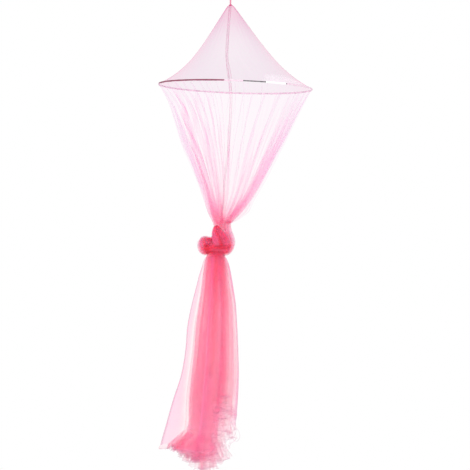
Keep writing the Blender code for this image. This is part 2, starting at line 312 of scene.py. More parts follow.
class Nodes:
    """Builds a node tree with few words."""

    def __init__(self, tree: bpy.types.NodeTree) -> None:
        """Keep the tree that is built."""
        self.tree = tree

    @property
    def given(self) -> bpy.types.bpy_prop_collection:
        """What the group is given, as sockets to feed on."""
        return self.tree.nodes["Group Input"].outputs

    def add(
        self, kind: str, inputs: dict | None = None, **settings: object
    ) -> bpy.types.Node:
        """Add a node, set its own properties and feed its inputs by name or number.

        Args:
            kind: Kind of the node.
            inputs: What feeds its inputs, by their names or numbers.
            **settings: The node's own properties.

        Returns:
            The new node.
        """
        node = self.tree.nodes.new(kind)
        for name, value in settings.items():
            setattr(node, name, value)
        for name, source in (inputs or {}).items():
            self.feed(source, node.inputs[name])
        return node

    def feed(self, source: object, target: bpy.types.NodeSocket) -> None:
        """Join a socket or a node's first output to an input, or set a plain value.

        Args:
            source: A socket, a node or a plain value.
            target: The input.
        """
        if isinstance(source, bpy.types.Node):
            source = source.outputs[0]
        if isinstance(source, bpy.types.NodeSocket):
            self.tree.links.new(source, target)
        else:
            target.default_value = source

    def end(self, last: bpy.types.Node) -> bpy.types.NodeTree:
        """Feed the group's output and return the tree."""
        self.feed(last, self.tree.nodes["Group Output"].inputs[0])
        return self.tree

    def math(self, operation: str, *values: object) -> bpy.types.Node:
        """Add a Math node."""
        return self.add("ShaderNodeMath", dict(enumerate(values)), operation=operation)

    def noise(self, vector: object, scale: float, detail: float) -> bpy.types.Node:
        """Add a Noise Texture.

        Args:
            vector: Where the noise is read.
            scale: Its scale.
            detail: Its detail.

        Returns:
            The new node.
        """
        return self.add(
            "ShaderNodeTexNoise", {"Vector": vector, "Scale": scale, "Detail": detail}
        )

    def ramp(self, source: object, colours: Sequence) -> bpy.types.Node:
        """Add a Color Ramp with these positions and colours.

        Args:
            source: What the ramp reads.
            colours: Position and colour of each stop.

        Returns:
            The new node.
        """
        node = self.add("ShaderNodeValToRGB", {0: source})
        stops = node.color_ramp.elements
        for _ in colours[2:]:
            stops.new(0.5)
        for stop, (position, colour) in zip(stops, colours):
            stop.position, stop.color = position, (*colour, 1.0)
        return node


def start_group(
    name: str, kind: str, takes: dict[str, str | float], gives: tuple[str, str]
) -> Nodes:
    """Start a node group.

    Args:
        name: Name of the group.
        kind: Kind of its tree.
        takes: Its inputs, each with its value or, in a word, its kind of socket.
        gives: Name and kind of its output.

    Returns:
        The builder of the group's nodes.
    """
    tree = bpy.data.node_groups.new(name, kind)
    for label, value in takes.items():
        number = "Int" if isinstance(value, int) else "Float"
        sort = value if isinstance(value, str) else number
        socket = tree.interface.new_socket(
            label, in_out="INPUT", socket_type=f"NodeSocket{sort}"
        )
        if not isinstance(value, str):
            socket.default_value = value
    label, sort = gives
    tree.interface.new_socket(label, in_out="OUTPUT", socket_type=f"NodeSocket{sort}")
    tree.nodes.new("NodeGroupInput")
    tree.nodes.new("NodeGroupOutput")
    return Nodes(tree)


def start_growth(name: str, **sizes: float) -> tuple[Nodes, bpy.types.Node]:
    """Start a Geometry Nodes tree that turns its path into a curve.

    Args:
        name: Name of the tree.
        **sizes: Its named sizes and their values.

    Returns:
        The builder of the tree's nodes, and the node that gives the curve.
    """
    takes = {"Path": "Geometry", **sizes, "Material": "Material"}
    build = start_group(name, "GeometryNodeTree", takes, ("Geometry", "Geometry"))
    build.tree.is_modifier = True
    return build, build.add("GeometryNodeMeshToCurve", {"Mesh": build.given["Path"]})


def end_growth(build: Nodes, last: bpy.types.Node) -> bpy.types.NodeTree:
    """Finish a Geometry Nodes tree with real geometry and its material.

    Args:
        build: The builder of the tree's nodes.
        last: The node that gives the geometry.

    Returns:
        The finished tree.
    """
    real = build.add("GeometryNodeRealizeInstances", {0: last})
    paint = {0: real, "Material": build.given["Material"]}
    return build.end(build.add("GeometryNodeSetMaterial", paint))


@cache
def thread_tree() -> bpy.types.NodeTree:
    """A round thread along each path.

    Returns:
        The tree, built once.
    """
    build, curve = start_growth("thread_along_path", Radius=0.5 * MM, Sides=5)
    section = build.add(
        "GeometryNodeCurvePrimitiveCircle",
        {"Radius": build.given["Radius"], "Resolution": build.given["Sides"]},
    )
    tube = build.add(
        "GeometryNodeCurveToMesh",
        {"Curve": curve, "Profile Curve": section, "Fill Caps": True},
    )
    return end_growth(build, tube)


@cache
def stitch_tree() -> bpy.types.NodeTree:
    """A row of short, uneven stitches along each path.

    Returns:
        The tree, built once.
    """
    build, curve = start_growth(
        "stitches_along_path", Spacing=4 * MM, Length=2.6 * MM, Thickness=0.7 * MM, Seed=3
    )
    spread = build.add(
        "GeometryNodeResampleCurve",
        {"Curve": curve, "Length": build.given["Spacing"]},
        mode="LENGTH",
    )
    round_off = {"Segments": 6, "Rings": 4, "Radius": 0.5}
    stitch = build.add("GeometryNodeMeshUVSphere", round_off)
    turn = build.add(
        "FunctionNodeAlignEulerToVector",
        {"Vector": build.add("GeometryNodeInputTangent")},
        axis="X",
    )
    uneven = build.add(
        "FunctionNodeRandomValue",
        {2: 0.8, 3: 1.15, "Seed": build.given["Seed"]},
        data_type="FLOAT",
    )
    thick = build.given["Thickness"]
    long = build.math("MULTIPLY", build.given["Length"], uneven.outputs[1])
    size = build.add("ShaderNodeCombineXYZ", {0: long, 1: thick, 2: thick})
    place = build.add(
        "GeometryNodeInstanceOnPoints",
        {"Points": spread, "Instance": stitch, "Rotation": turn, "Scale": size},
    )
    return end_growth(build, place)


def grow(
    name: str,
    tree: bpy.types.NodeTree,
    paths: Sequence[Array],
    material: Material,
    closed: bool = False,
    **sizes: float,
) -> Object:
    """Run a Geometry Nodes tree along paths and keep its result as a plain mesh.

    Args:
        name: Name of the piece.
        tree: The tree to run.
        paths: Points of each path.
        material: Finish of the result.
        closed: Whether each path's end joins its start.
        **sizes: Values for the tree's named inputs.

    Returns:
        The new object, with no modifier on it.
    """
    piece = path_mesh(name, paths, closed)
    modifier = piece.modifiers.new("growth", "NODES")
    modifier.node_group = tree
    values = {**sizes, "Material": material}
    for item in tree.interface.items_tree:
        if item.in_out == "INPUT" and item.name in values:
            modifier[item.identifier] = values[item.name]
    graph = bpy.context.evaluated_depsgraph_get()
    mesh = bpy.data.meshes.new_from_object(piece.evaluated_get(graph))
    piece.modifiers.clear()
    piece.data = mesh
    mesh.shade_smooth()
    return piece


# ---------------------------------------------------------------------------
# Finishes
# ---------------------------------------------------------------------------


# how tightly the net is gathered, 0 to 1, and the thread's colour there; towards 1 it
# darkens into painted shade for creases
NET_DYES_AND_CREASE_SHADE = (
    (0.0, (0.78, 0.20, 0.62)),
    (0.18, (0.94, 0.22, 0.58)),
    (0.5, (0.975, 0.27, 0.47)),
    (0.78, (0.965, 0.15, 0.27)),
    (1.0, (0.84, 0.06, 0.12)),
)
ROOF_DYES = ((0.0, (0.52, 0.14, 0.42)), (1.0, (0.82, 0.17, 0.42)))
# near-white colour of the painted glare by the hoop's joint
GLARE_DYES = ((0.0, (0.97, 0.93, 0.97)), (1.0, (0.97, 0.93, 0.97)))


@cache
def net_weave() -> bpy.types.NodeTree:
    """Six-sided mesh of knitted net with uneven threads: 1 on average.

    Returns:
        The group, built once.
    """
    takes = {"Vector": "Vector", "Cell": 2.4 * MM, "Depth": 0.2, "Streaks": 0.3}
    build = start_group("net_weave", "ShaderNodeTree", takes, ("Thread", "Float"))
    given = build.given
    pace = build.math("DIVIDE", TURN / 0.866, given["Cell"])
    waves = []
    for angle in (0.0, math.radians(60.0), math.radians(120.0)):
        dot = build.add(
            "ShaderNodeVectorMath",
            {0: given["Vector"], 1: (math.cos(angle), math.sin(angle), 0.0)},
            operation="DOT_PRODUCT",
        )
        phase = build.math("MULTIPLY", dot.outputs["Value"], pace)
        waves.append(build.math("COSINE", phase))
    total = build.math("ADD", build.math("ADD", waves[0], waves[1]), waves[2])
    thread = build.math("SUBTRACT", 1.0, build.math("MULTIPLY", total, given["Depth"]))
    drawn = build.add(
        "ShaderNodeVectorMath", {0: given["Vector"], 1: (1.0, 0.06, 1.0)},
        operation="MULTIPLY",
    )
    slack = build.math("SUBTRACT", build.noise(drawn, 55.0, 2.0), 0.5)
    uneven = build.math("ADD", 1.0, build.math("MULTIPLY", slack, given["Streaks"]))
    return build.end(build.math("MULTIPLY", thread, uneven))


def start_material(name: str) -> tuple[Material, Nodes, bpy.types.Node]:
    """A new material, the builder of its nodes and its Principled BSDF.

    Args:
        name: Name of the material.

    Returns:
        The material, the builder of its nodes and its Principled BSDF.
    """
    material = bpy.data.materials.new(name)
    material.use_nodes = True
    return material, Nodes(material.node_tree), material.node_tree.nodes["Principled BSDF"]


@dataclass(frozen=True)
class NetFinish:
    """Sheer knitted net, whose thread covers more the more it is seen edge on.

    Attributes:
        name: Name of the material.
        dyes: How tightly the net is gathered, 0 to 1, and the thread's colour there; in
            the hanging net's ramp the colour darkens towards 1 into painted shade.
        cover: Share of the light that one layer stops, seen square on.
        grazing: Least cosine of the angle at which a layer still thickens.
        weave_depth: How much the mesh varies between thread and hole.
        through: Share of the thread's light that passes to its far side.
        roughness: Roughness of the thread.
    """

    name: str
    dyes: tuple[tuple[float, Colour], ...]
    cover: float
    grazing: float
    weave_depth: float = 0.10
    through: float = 0.5
    roughness: float = 0.65

    def build(self) -> Material:
        """Make the material.

        Returns:
            The new material.
        """
        material, build, thread = start_material(self.name)
        thread.inputs["Roughness"].default_value = self.roughness
        thread.inputs["Specular IOR Level"].default_value = 0.15
        # The colour follows the crowding attribute, which also carries painted shade in
        # creases and painted light on bulges.
        gathered = build.add("ShaderNodeAttribute", attribute_name="crowding_and_shade")
        dye = build.ramp(gathered.outputs["Fac"], self.dyes)
        build.feed(dye, thread.inputs["Base Color"])

        cloth = build.add("ShaderNodeUVMap", uv_map="cloth")
        weave = build.add("ShaderNodeGroup", node_tree=net_weave())
        weave.inputs["Depth"].default_value = self.weave_depth
        build.feed(cloth, weave.inputs["Vector"])
        facing = build.add("ShaderNodeLayerWeight", {"Blend": 0.5})
        square = build.math("SUBTRACT", 1.0, facing.outputs["Facing"])
        close = build.add("ShaderNodeAttribute", attribute_name="closeness")
        layers = build.math(
            "DIVIDE",
            build.math("MULTIPLY", weave.outputs["Thread"], close.outputs["Fac"]),
            build.math("MAXIMUM", square, self.grazing),
        )
        holes = build.math("POWER", 1.0 - self.cover, layers)
        covered = build.math("SUBTRACT", 1.0, holes)

        far_side = build.add("ShaderNodeBsdfTranslucent", {"Color": dye})
        both = build.add("ShaderNodeMixShader", {0: self.through, 1: thread, 2: far_side})
        clear = build.add("ShaderNodeBsdfTransparent")
        sheer = build.add("ShaderNodeMixShader", {0: covered, 1: clear, 2: both})
        build.feed(sheer, build.tree.nodes["Material Output"].inputs[0])
        return material


@dataclass(frozen=True)
class SolidFinish:
    """Thread, tape, cord, steel or plastic with uneven colour and a fine relief.

    Attributes:
        name: Name of the material.
        colour: Main colour.
        shade: Colour of the darker patches, which lie at random.
        grain: Size in metres of the colour's unevenness.
        roughness: Roughness, more or less.
        metallic: 1 for metal.
        relief: Depth of the fine relief in metres.
        relief_size: Size in metres of the fine relief.
        alpha: Share of the light that it stops.
    """

    name: str
    colour: Colour
    shade: Colour
    grain: float
    roughness: float
    metallic: float = 0.0
    relief: float = 0.15 * MM
    relief_size: float = 0.6 * MM
    alpha: float = 1.0

    def build(self) -> Material:
        """Make the material.

        Returns:
            The new material.
        """
        material, build, shader = start_material(self.name)
        shader.inputs["Metallic"].default_value = self.metallic
        shader.inputs["Alpha"].default_value = self.alpha
        shader.inputs["Specular IOR Level"].default_value = 0.3
        place = build.add("ShaderNodeTexCoord").outputs["Object"]
        patch = build.noise(place, 1.0 / self.grain, 3.0)
        dye = build.ramp(patch, ((0.35, self.shade), (0.7, self.colour)))
        build.feed(dye, shader.inputs["Base Color"])
        varied = build.math("MULTIPLY", patch, 0.2)
        rough = build.math("ADD", self.roughness - 0.1, varied)
        build.feed(rough, shader.inputs["Roughness"])
        height = build.noise(place, 1.0 / self.relief_size, 2.0)
        bump = build.add("ShaderNodeBump", {"Distance": self.relief, "Height": height})
        build.feed(bump, shader.inputs["Normal"])
        return material


def felled_seam(
    names: tuple[str, str], grid: Array, lay: Lay, net: Material, thread: Material,
    radius: float,
) -> tuple[Object, Object]:
    """A strip of doubled net, and the rolled thread along each of its edges.

    Args:
        names: Names of the strip and of its edges.
        grid: Points of the strip, with its edges first and last in each row.
        lay: How the strip lies.
        net: Finish of the strip.
        thread: Finish of the edges.
        radius: Radius of the rolled thread, in metres.

    Returns:
        The strip and its edges.
    """
    strip = surface_mesh(names[0], grid, net, wraps=False, lay=lay)
    edges = grow(
        names[1], thread_tree(), [grid[:, 0], grid[:, -1]], thread, Radius=radius, Sides=5
    )
    return strip, edges


# ---------------------------------------------------------------------------
# Hoop
# ---------------------------------------------------------------------------


@dataclass
class Hoop:
    """The steel hoop that spreads the net, its joining tube and its sewn casing.

    Spans are azimuths in degrees.
    """

    radius: float = 0.300
    drop: float = 0.374
    offset: float = 0.019
    tilt: float = math.radians(2.05)
    wire_radius: float = 2.5 * MM
    sides: int = 20
    casing_radius: float = 2.75 * MM
    heading: float = 1.0 * MM
    casing_span: tuple[float, float] = (-49.6, 275.6)
    # azimuths of the darker crimson band that paints the shade on the casing's front-left
    # arc
    shade_band_span: tuple[float, float] = (188.0, 263.0)
    joiner_span: tuple[float, float] = (292.5, 309.4)
    joiner_radius: float = 3.7 * MM
    joiner_length: float = 0.088
    stitch_gap: float = 0.8 * MM
    stitch_drop: float = 3.1 * MM

    def place(self, azimuth: Array, radius: Array | float, rise: Array | float) -> Array:
        """Points at these angles, radii and heights in the hoop's tilted plane.

        Args:
            azimuth: Angles in radians.
            radius: Distances from the hoop's middle.
            rise: Heights above the hoop's plane.

        Returns:
            The points, along a new last axis.
        """
        across = radius * np.cos(azimuth)
        return joined(
            self.offset + across * math.cos(self.tilt) + rise * math.sin(self.tilt),
            radius * np.sin(azimuth),
            -self.drop - across * math.sin(self.tilt) + rise * math.cos(self.tilt),
        )

    def tube(
        self, name: str, span: tuple[float, float], section: Array, ends: float,
        material: Material,
    ) -> Object:
        """Build a tube along the hoop.

        Args:
            name: Name of the piece.
            span: First and last azimuth in degrees.
            section: Radii, rings x sides or rings x 1, the first side pointing outwards.
            ends: Length over which the tube closes down on the wire.
            material: Finish of the tube.

        Returns:
            The new object.
        """
        first, last = (math.radians(degrees) for degrees in span)
        azimuth = np.linspace(first, last, len(section))[:, None]
        turn = around(self.sides)[None, :]
        run = np.minimum(azimuth - first, last - azimuth) * self.radius / ends
        closing = np.sqrt(np.clip(1.0 - (1.0 - np.clip(run, 0, 1)) ** 2, 0.0, 1.0))
        radius = self.wire_radius * 0.9 + (section - self.wire_radius * 0.9) * closing
        grid = self.place(
            azimuth, self.radius + radius * np.cos(turn), radius * np.sin(turn)
        )
        return surface_mesh(name, grid, material)

    def build(self) -> None:
        """Dress the wire; build the casing, its band of painted shade, stitches and
        joining tube.
        """
        rng = np.random.default_rng(11)
        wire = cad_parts["hoop_wire"]
        wire.data.materials.clear()
        wire.data.materials.append(
            SolidFinish("spring_steel", (0.30, 0.28, 0.30), (0.12, 0.11, 0.12), 0.010,
                        0.38, metallic=1.0, relief=0.04 * MM, relief_size=1.2 * MM).build()
        )
        below = lobe(around(self.sides), -90.0, 16.0)
        slack = 1.0 + 0.05 * self.waviness(rng, 640, 60)
        casing = self.tube(
            "casing_net", self.casing_span,
            self.casing_radius * slack + self.heading * below * slack**3, 6 * MM,
            SolidFinish("doubled_net_tape", (0.90, 0.74, 0.83), (0.80, 0.56, 0.68), 0.012,
                        0.85, alpha=0.88).build(),
        )
        # A darker crimson band over the casing's front-left arc: painted shade where that
        # arc lies in shade.
        rim = (self.casing_radius + 0.35 * MM) * (1.0 + 0.06 * self.waviness(rng, 220, 40))
        shade_band = self.tube(
            "casing_shade_band", self.shade_band_span, rim, 60 * MM,
            SolidFinish(
                "crimson_shade_band", (0.30, 0.085, 0.14), (0.19, 0.045, 0.08), 0.006, 0.8
            ).build(),
        )
        first, last = (math.radians(degrees) for degrees in self.casing_span)
        row = np.linspace(first + 0.02, last - 0.02, 900)
        paths = [
            self.place(row, self.radius + side * self.stitch_gap, -self.stitch_drop)
            for side in (-1.0, 1.0)
        ]
        sewing = SolidFinish(
            "rose_sewing_thread", (0.88, 0.60, 0.70), (0.78, 0.46, 0.58), 0.004, 0.6
        ).build()
        stitches = grow("casing_stitches", stitch_tree(), paths, sewing,
                        Thickness=0.4 * MM, Length=2.0 * MM)
        share = np.linspace(0.0, 1.0, 90)[:, None]
        to_end = np.minimum(share, 1 - share) * self.joiner_length
        lips, waist = bell(to_end - 1.6 * MM, 0.8 * MM), bell(share - 0.5, 0.02)
        joiner = self.tube(
            "joining_tube", self.joiner_span,
            self.joiner_radius + 0.45 * MM * lips - 0.35 * MM * waist, 1.2 * MM,
            SolidFinish("white_plastic", (0.93, 0.92, 0.93), (0.86, 0.84, 0.86), 0.012,
                        0.38, relief=0.03 * MM, relief_size=2 * MM).build(),
        )
        dress(casing, Slot.CASING, "hoop_sleeve")
        dress(shade_band, Slot.CASING, "hoop_sleeve")
        dress(stitches, Slot.CASING)
        dress(joiner, Slot.JOINER, "hoop_joiner")

    @staticmethod
    def waviness(rng: np.random.Generator, steps: int, waves: int) -> Array:
        """Smooth unevenness along the hoop, about -1 to 1, steps x 1."""
        return through(rng.uniform(-1.0, 1.0, (waves + 2, 1)), steps)


# ---------------------------------------------------------------------------
# Roof and hanging loop
# ---------------------------------------------------------------------------


@dataclass
class Roof:
    """The net's pointed roof, the tuft that it is gathered into and its seams."""

    hoop: Hoop
    rings: int = 64
    columns: int = 480
    loop_height: float = 50.0 * MM
    slope: float = 0.45
    apex_radius: float = 6.0 * MM
    straight_share: float = 0.76
    flare_power: float = 5.5
    panels: int = 4
    sag: float = 0.012
    end: float = 0.9935
    seam_width: float = 10.5 * MM
    patch_lift: float = 1.6 * MM
    seam_lift: float = 0.8 * MM
    # depth, number round the roof, phase of the small gathers below the tuft
    gathers: Rows = (
        (0.35, 23, 1.3), (0.25, 14, 4.0), (0.2, 37, 0.0)
    )
    # share of the way down, azimuth in degrees of the front seam
    front_seam: Rows = (
        (0.00, 261.0), (0.37, 259.0), (0.70, 261.0), (0.92, 265.6), (1.00, 266.3)
    )

    def place(
        self, azimuth: Array, share: Array, lift: float = 0.0, ripple: float = 1.0
    ) -> Array:
        """Points on the roof.

        Args:
            azimuth: Angles in radians.
            share: Shares of the way down, 1 at the hoop.
            lift: How far outside the net the points lie.
            ripple: Share of the net's small gathers that the points follow.

        Returns:
            The points, along a new last axis.
        """
        azimuth, share = np.broadcast_arrays(
            np.asarray(azimuth, float), np.asarray(share, float)
        )
        flare = (1 - self.straight_share) * share**self.flare_power
        profile = self.straight_share * share + flare
        tuft = 0.5 + 0.5 * ease(share / 0.05)
        radius = self.apex_radius * tuft * (1 - share) + self.hoop.radius * profile
        slack = self.sag * np.sin(math.pi * share) * radius
        radius = radius - slack * np.sin(self.panels / 2 * (azimuth + math.pi / 2)) ** 2
        gathers = sum(
            part * np.sin(count * azimuth + phase) for part, count, phase in self.gathers
        )
        depth = np.minimum(0.22 * radius, 2.2 * MM * (1 - share) ** 2)
        pulls = 0.6 * MM * np.sin(61 * azimuth + 9 * share) * ease((share - 0.8) / 0.2)
        radius = radius + ripple * (depth * gathers + pulls) + lift
        across = radius * np.cos(azimuth)
        level = self.loop_height + (self.hoop.drop - self.loop_height) * share
        return joined(
            self.hoop.offset * share + across,
            radius * np.sin(azimuth),
            -level - across * np.tan(self.hoop.tilt * share),
        )

    def lay(self, azimuth: Array, share: Array) -> Lay:
        """Lay the net, cut in equal panels, closer and pinker to the tuft and sides.

        Args:
            azimuth: Angle of each column.
            share: Share of the way down of each row.

        Returns:
            How the net lies.
        """
        width = TURN / self.panels
        start = math.radians(self.front_seam[0][1])
        panel = np.floor((azimuth - start) / width + 1e-6)
        reach = self.hoop.radius * share
        near = (azimuth - start - (panel + 0.5) * width) * reach
        far = near + TURN / self.columns * reach
        down = self.slope * share
        crowding_and_shade = np.maximum(0.95 * np.exp(-share / 0.30), 0.75 * np.cos(azimuth) ** 6)
        closeness = 1.0 + 1.8 * bell(share, 0.21) + 0.6 * np.cos(azimuth) ** 6
        return Lay(joined(near, down), joined(far, down), crowding_and_shade, closeness)

    def build(self, net: Material, white: Material) -> None:
        """Build the roof's sheet, its seams and the pale patch of painted glare over the
        hoop's joint.

        Args:
            net: Finish of the net.
            white: Finish of the pale patch of painted glare.
        """
        start = math.radians(self.front_seam[0][1])
        azimuth = start + around(self.columns)[None, :]
        share = self.end * np.linspace(0.0, 1.0, self.rings)[:, None] ** 1.1
        grid = self.place(azimuth, share)
        tip = np.array((0.0, 0.0, -self.loop_height + 0.8 * MM))
        grid = np.concatenate((tip + (grid[:1] - tip) * 0.15, grid))
        share = np.concatenate((share[:1], share))
        roof = surface_mesh("roof_net", grid, net, lay=self.lay(azimuth, share))
        back = [(stop, 360.0 - degrees) for stop, degrees in self.front_seam]
        seams = [
            self.seam("roof_front_seam", net, self.front_seam, self.seam_width),
            self.seam("roof_back_seam", net, back, 0.7 * self.seam_width),
        ]
        thin = 0.35 * self.seam_width
        for side, degrees in (("left", 178.0), ("right", 358.0)):
            route = [(stop, degrees) for stop, _ in self.front_seam]
            seams.append(self.seam(f"roof_{side}_seam", net, route, thin))
        patch = self.joint_glare_patch(white)
        dress(roof, Slot.NET, "cone_net")
        for piece in (*seams, patch):
            dress(piece, Slot.NET)

    def seam(self, name: str, net: Material, route: Rows, width: float) -> Object:
        """A felled seam down the roof, and the thread along its edges.

        Args:
            name: Name of the strip.
            net: Finish of the strip.
            route: Shares of the way down and azimuths in degrees.
            width: Width of the seam, in metres.

        Returns:
            The strip.
        """
        share = np.linspace(0.015, 0.975, 90)
        azimuth = np.radians(along(route, share)[:, 0])
        half = np.minimum(0.5 * width / (self.hoop.radius * share + self.apex_radius), 0.5)
        across = np.linspace(-1.0, 1.0, 5)
        grid = self.place(
            azimuth[:, None] + half[:, None] * across, share[:, None], self.seam_lift, 0.0
        )
        places = joined(0.5 * width * across, self.slope * share[:, None])
        thread = SolidFinish(
            f"{name}_thread", (0.76, 0.42, 0.55), (0.62, 0.30, 0.42), 0.01, 0.7, alpha=0.75
        ).build()
        strip, edges = felled_seam(
            (name, f"{name}_edges"), grid, Lay.strip(places, 0.4, 0.5), net, thread,
            0.065 * width,
        )
        dress(edges, Slot.NET)
        return strip

    def joint_glare_patch(self, white: Material) -> Object:
        """A pale piece of net laid over the roof at the hoop's joint: painted glare that
        whitens the net there.

        Args:
            white: Finish of the patch.

        Returns:
            The new object.
        """
        azimuth = np.radians(np.linspace(291.0, 345.0, 60))[None, :]
        foot = np.linspace(0.0, 1.0, 12)[:, None]
        ramp = ease((azimuth - azimuth.min()) / 0.15)
        ramp = ramp * ease((azimuth.max() - azimuth) / 0.35)
        share = 0.985 - (1 - foot) * (0.02 + 0.085 * ramp)
        places = joined(0.25 * azimuth, self.slope * share)
        # how strongly the painted glare whitens the net, most in the middle of the span
        # and in its lower half
        glare = 0.15 + 0.85 * ramp * ease(foot / 0.5)
        return surface_mesh(
            "joint_glare_patch", self.place(azimuth, share, self.patch_lift), white, wraps=False,
            lay=Lay.strip(places, 0.0, glare),
        )


@dataclass
class HangingLoop:
    """The twisted cord that the canopy hangs by, whipped to the roof's tuft."""

    cord_radius: float = 1.2 * MM
    leg_half_gap: float = 1.6 * MM
    eye_half_width: float = 8.0 * MM
    loop_height: float = 50.0 * MM
    eye_height: float = 26.0 * MM
    steps: int = 300
    plies: int = 3
    pitch: float = 7.5 * MM
    whipping_turns: int = 8

    def route(self) -> Array:
        """Closed line through the middle of the cord.

        Returns:
            Evenly spaced points.
        """
        foot = -self.loop_height + 1.5 * MM
        crown = self.cord_radius
        neck = crown - self.eye_height
        side = [
            (self.leg_half_gap * 0.6, foot),
            (self.leg_half_gap, foot + self.leg_half_gap),
            (self.leg_half_gap, (foot + neck) / 2),
            (self.leg_half_gap, neck),
        ]
        for step in range(1, 12):
            share = step / 12
            swell = math.sin(math.pi * share**1.25)
            half = self.leg_half_gap * (1 - share)
            half += (self.eye_half_width - self.leg_half_gap / 2) * swell
            rise = self.eye_height * (1 - math.cos(math.pi * share)) / 2
            side.append((half, neck + rise))
        side.append((self.leg_half_gap * 0.9, crown))
        whole = side + [(-x, z) for x, z in reversed(side)]
        points = np.array([(x, 0.0, z) for x, z in whole])
        closed = looped(points)
        run = travelled(closed)
        return straight(np.linspace(0.0, run[-1], self.steps + 1)[:-1], run, closed)

    def build(self) -> None:
        """Build the cord's plies and the whipping thread."""
        route = self.route()
        ahead = heading(route, 1)
        out = joined(ahead[:, 2], 0.0, -ahead[:, 0])
        depth = np.array((0.0, 1.0, 0.0))
        twists = round(travelled(route)[-1] / self.pitch)
        offset = self.cord_radius * 0.52
        strands = []
        for ply in range(self.plies):
            turn = TURN * (twists * np.arange(len(route)) / len(route) + ply / self.plies)
            strands.append(
                route
                + out * (offset * np.cos(turn))[:, None]
                + depth * (offset * np.sin(turn))[:, None]
            )
        cord = SolidFinish(
            "rose_cord", (0.78, 0.12, 0.28), (0.55, 0.05, 0.16), 0.003, 0.75
        ).build()
        loop = grow("hanging_cord", thread_tree(), strands, cord, closed=True,
                    Radius=self.cord_radius * 0.55, Sides=8)
        turn = np.linspace(0.0, TURN * self.whipping_turns, 24 * self.whipping_turns)
        level = -self.loop_height - 1.0 * MM - 0.75 * MM * turn / TURN
        radius = 3.3 * MM + 0.15 * MM * (turn / TURN)
        helix = joined(radius * np.cos(turn), radius * np.sin(turn), level)
        whipping = grow("apex_whipping", thread_tree(), [helix], cord,
                        Radius=0.45 * MM, Sides=6)
        dress(loop, Slot.LOOP_CORD, "hanging_loop")
        dress(whipping, Slot.LOOP_CORD)


# ---------------------------------------------------------------------------
# The net's folds
# ---------------------------------------------------------------------------


@dataclass
class Folds:
    """The folds that the net is gathered into, the same from hoop to hem.

    Attributes:
        count: How many folds lie round the net.
        columns: Columns of points in each fold.
        seed: Seed of the folds' unevenness.
        least_room: Least depth left for a fold, in metres.
        least_distance: Least distance of the net from the ring's middle, in metres.
        most_lean: How far a fold can lean on the next, in radians.
    """

    count: int = 48
    columns: int = 14
    seed: int = 7
    least_room: float = 0.5 * MM
    least_distance: float = 1.5 * MM
    most_lean: float = 2.2
    fold: Array = field(init=False)
    share: Array = field(init=False)
    tip: Array = field(init=False)
    wave: Array = field(init=False)
    ridge: Array = field(init=False)
    length: Array = field(init=False)
    set_in: Array = field(init=False)
    phase: Array = field(init=False)

    def __post_init__(self) -> None:
        """Lay out the columns and how uneven each fold is."""
        rng = np.random.default_rng(self.seed)
        index = np.arange(self.count * self.columns)
        self.fold = index // self.columns
        self.share = (index % self.columns) / self.columns
        self.tip = 1.0 - np.abs(2.0 * self.share - 1.0)
        self.wave = 0.5 - 0.5 * np.cos(TURN * self.share)
        self.ridge = (self.fold + (self.share >= 0.5)) % self.count
        self.length = rng.uniform(0.4, 1.7, self.count)
        self.length /= self.length.mean()
        self.set_in = rng.uniform(0.0, 1.0, self.count)
        self.phase = rng.uniform(0.0, TURN, (self.count, 4))

    @property
    def total(self) -> int:
        """Number of columns round the net."""
        return self.count * self.columns

    def starts(self, values: Array) -> Array:
        """Values at the ridge that each fold starts from."""
        return values.reshape(self.count, self.columns)[:, 0]

    def across(self, values: Array) -> Array:
        """Carry one value for each ridge smoothly across the columns."""
        ahead = np.roll(values, -1)
        return values[self.fold] * (1 - self.share) + ahead[self.fold] * self.share

    def cloth_share(self) -> Array:
        """Place of each column along the cloth's width, from 0 to 1.

        Returns:
            The shares, rising.
        """
        starts = totals(self.length) / self.count
        width = self.length / self.count
        return starts[self.fold] + width[self.fold] * self.share

    def spans(self, length: float, down: float) -> tuple[Array, Array]:
        """Places on the flat cloth of the near and far side of each column's face."""
        span = np.append(self.cloth_share(), 1.0) * length
        return joined(span[:-1], down), joined(span[1:], down)

    def uneven(self, kind: int, drift: float) -> Array:
        """Unevenness of each ridge, 0 to 1, changing slowly down the cloth."""
        sway = np.sin(self.phase[:, kind] + drift)
        return 0.5 * self.set_in + 0.25 * (1.0 + sway)

    def ring(
        self,
        azimuth: Array,
        reach: Array,
        ridge_share: Array,
        cloth: float,
        core: float,
        swirl: float,
        sharp: float = 0.6,
    ) -> tuple[Array, Array]:
        """Fold a length of cloth into a ring.

        Args:
            azimuth: Angle of each column before the folds lean.
            reach: Distance of the outline from the middle at each column.
            ridge_share: How far out each ridge stands, as a share of the reach.
            cloth: Length of cloth in the ring, in metres.
            core: Share of the reach that no fold goes inside.
            swirl: Least share of each fold's depth that lies sideways.
            sharp: How sharply the folds turn, from 0 for rounded to 1 for creased.

        Returns:
            The angle and distance of each column.
        """
        starts = self.starts(azimuth)
        width = (np.roll(starts, -1) - starts) % TURN
        mean_reach = reach.reshape(self.count, self.columns).mean(axis=1)
        low = np.minimum(np.minimum(ridge_share, np.roll(ridge_share, -1)), 1.0)
        base = mean_reach * low
        half_arc = 0.5 * width * base
        half_cloth = 0.5 * cloth / self.count * self.length
        deep = np.sqrt(np.maximum(half_cloth**2 - half_arc**2, 0.0))
        room = np.maximum(base - core * mean_reach, self.least_room)
        inward = np.minimum(deep * math.sqrt(1.0 - swirl**2), room)
        foot = (low - inward / mean_reach)[self.fold]
        crest = ridge_share[self.ridge]
        trough = sharp * self.tip + (1.0 - sharp) * self.wave
        distance = reach * (foot + (crest - foot) * (1.0 - trough))
        distance = np.maximum(distance, self.least_distance)
        extent = reach * np.maximum(crest - foot, 1e-4)
        sideways = np.sqrt(np.maximum(half_cloth[self.fold] ** 2 - extent**2, 0.0))
        turning = sideways / extent
        lean = turning * np.log(np.maximum(reach * crest / distance, 1.0))
        return azimuth + np.minimum(lean, self.most_lean), distance


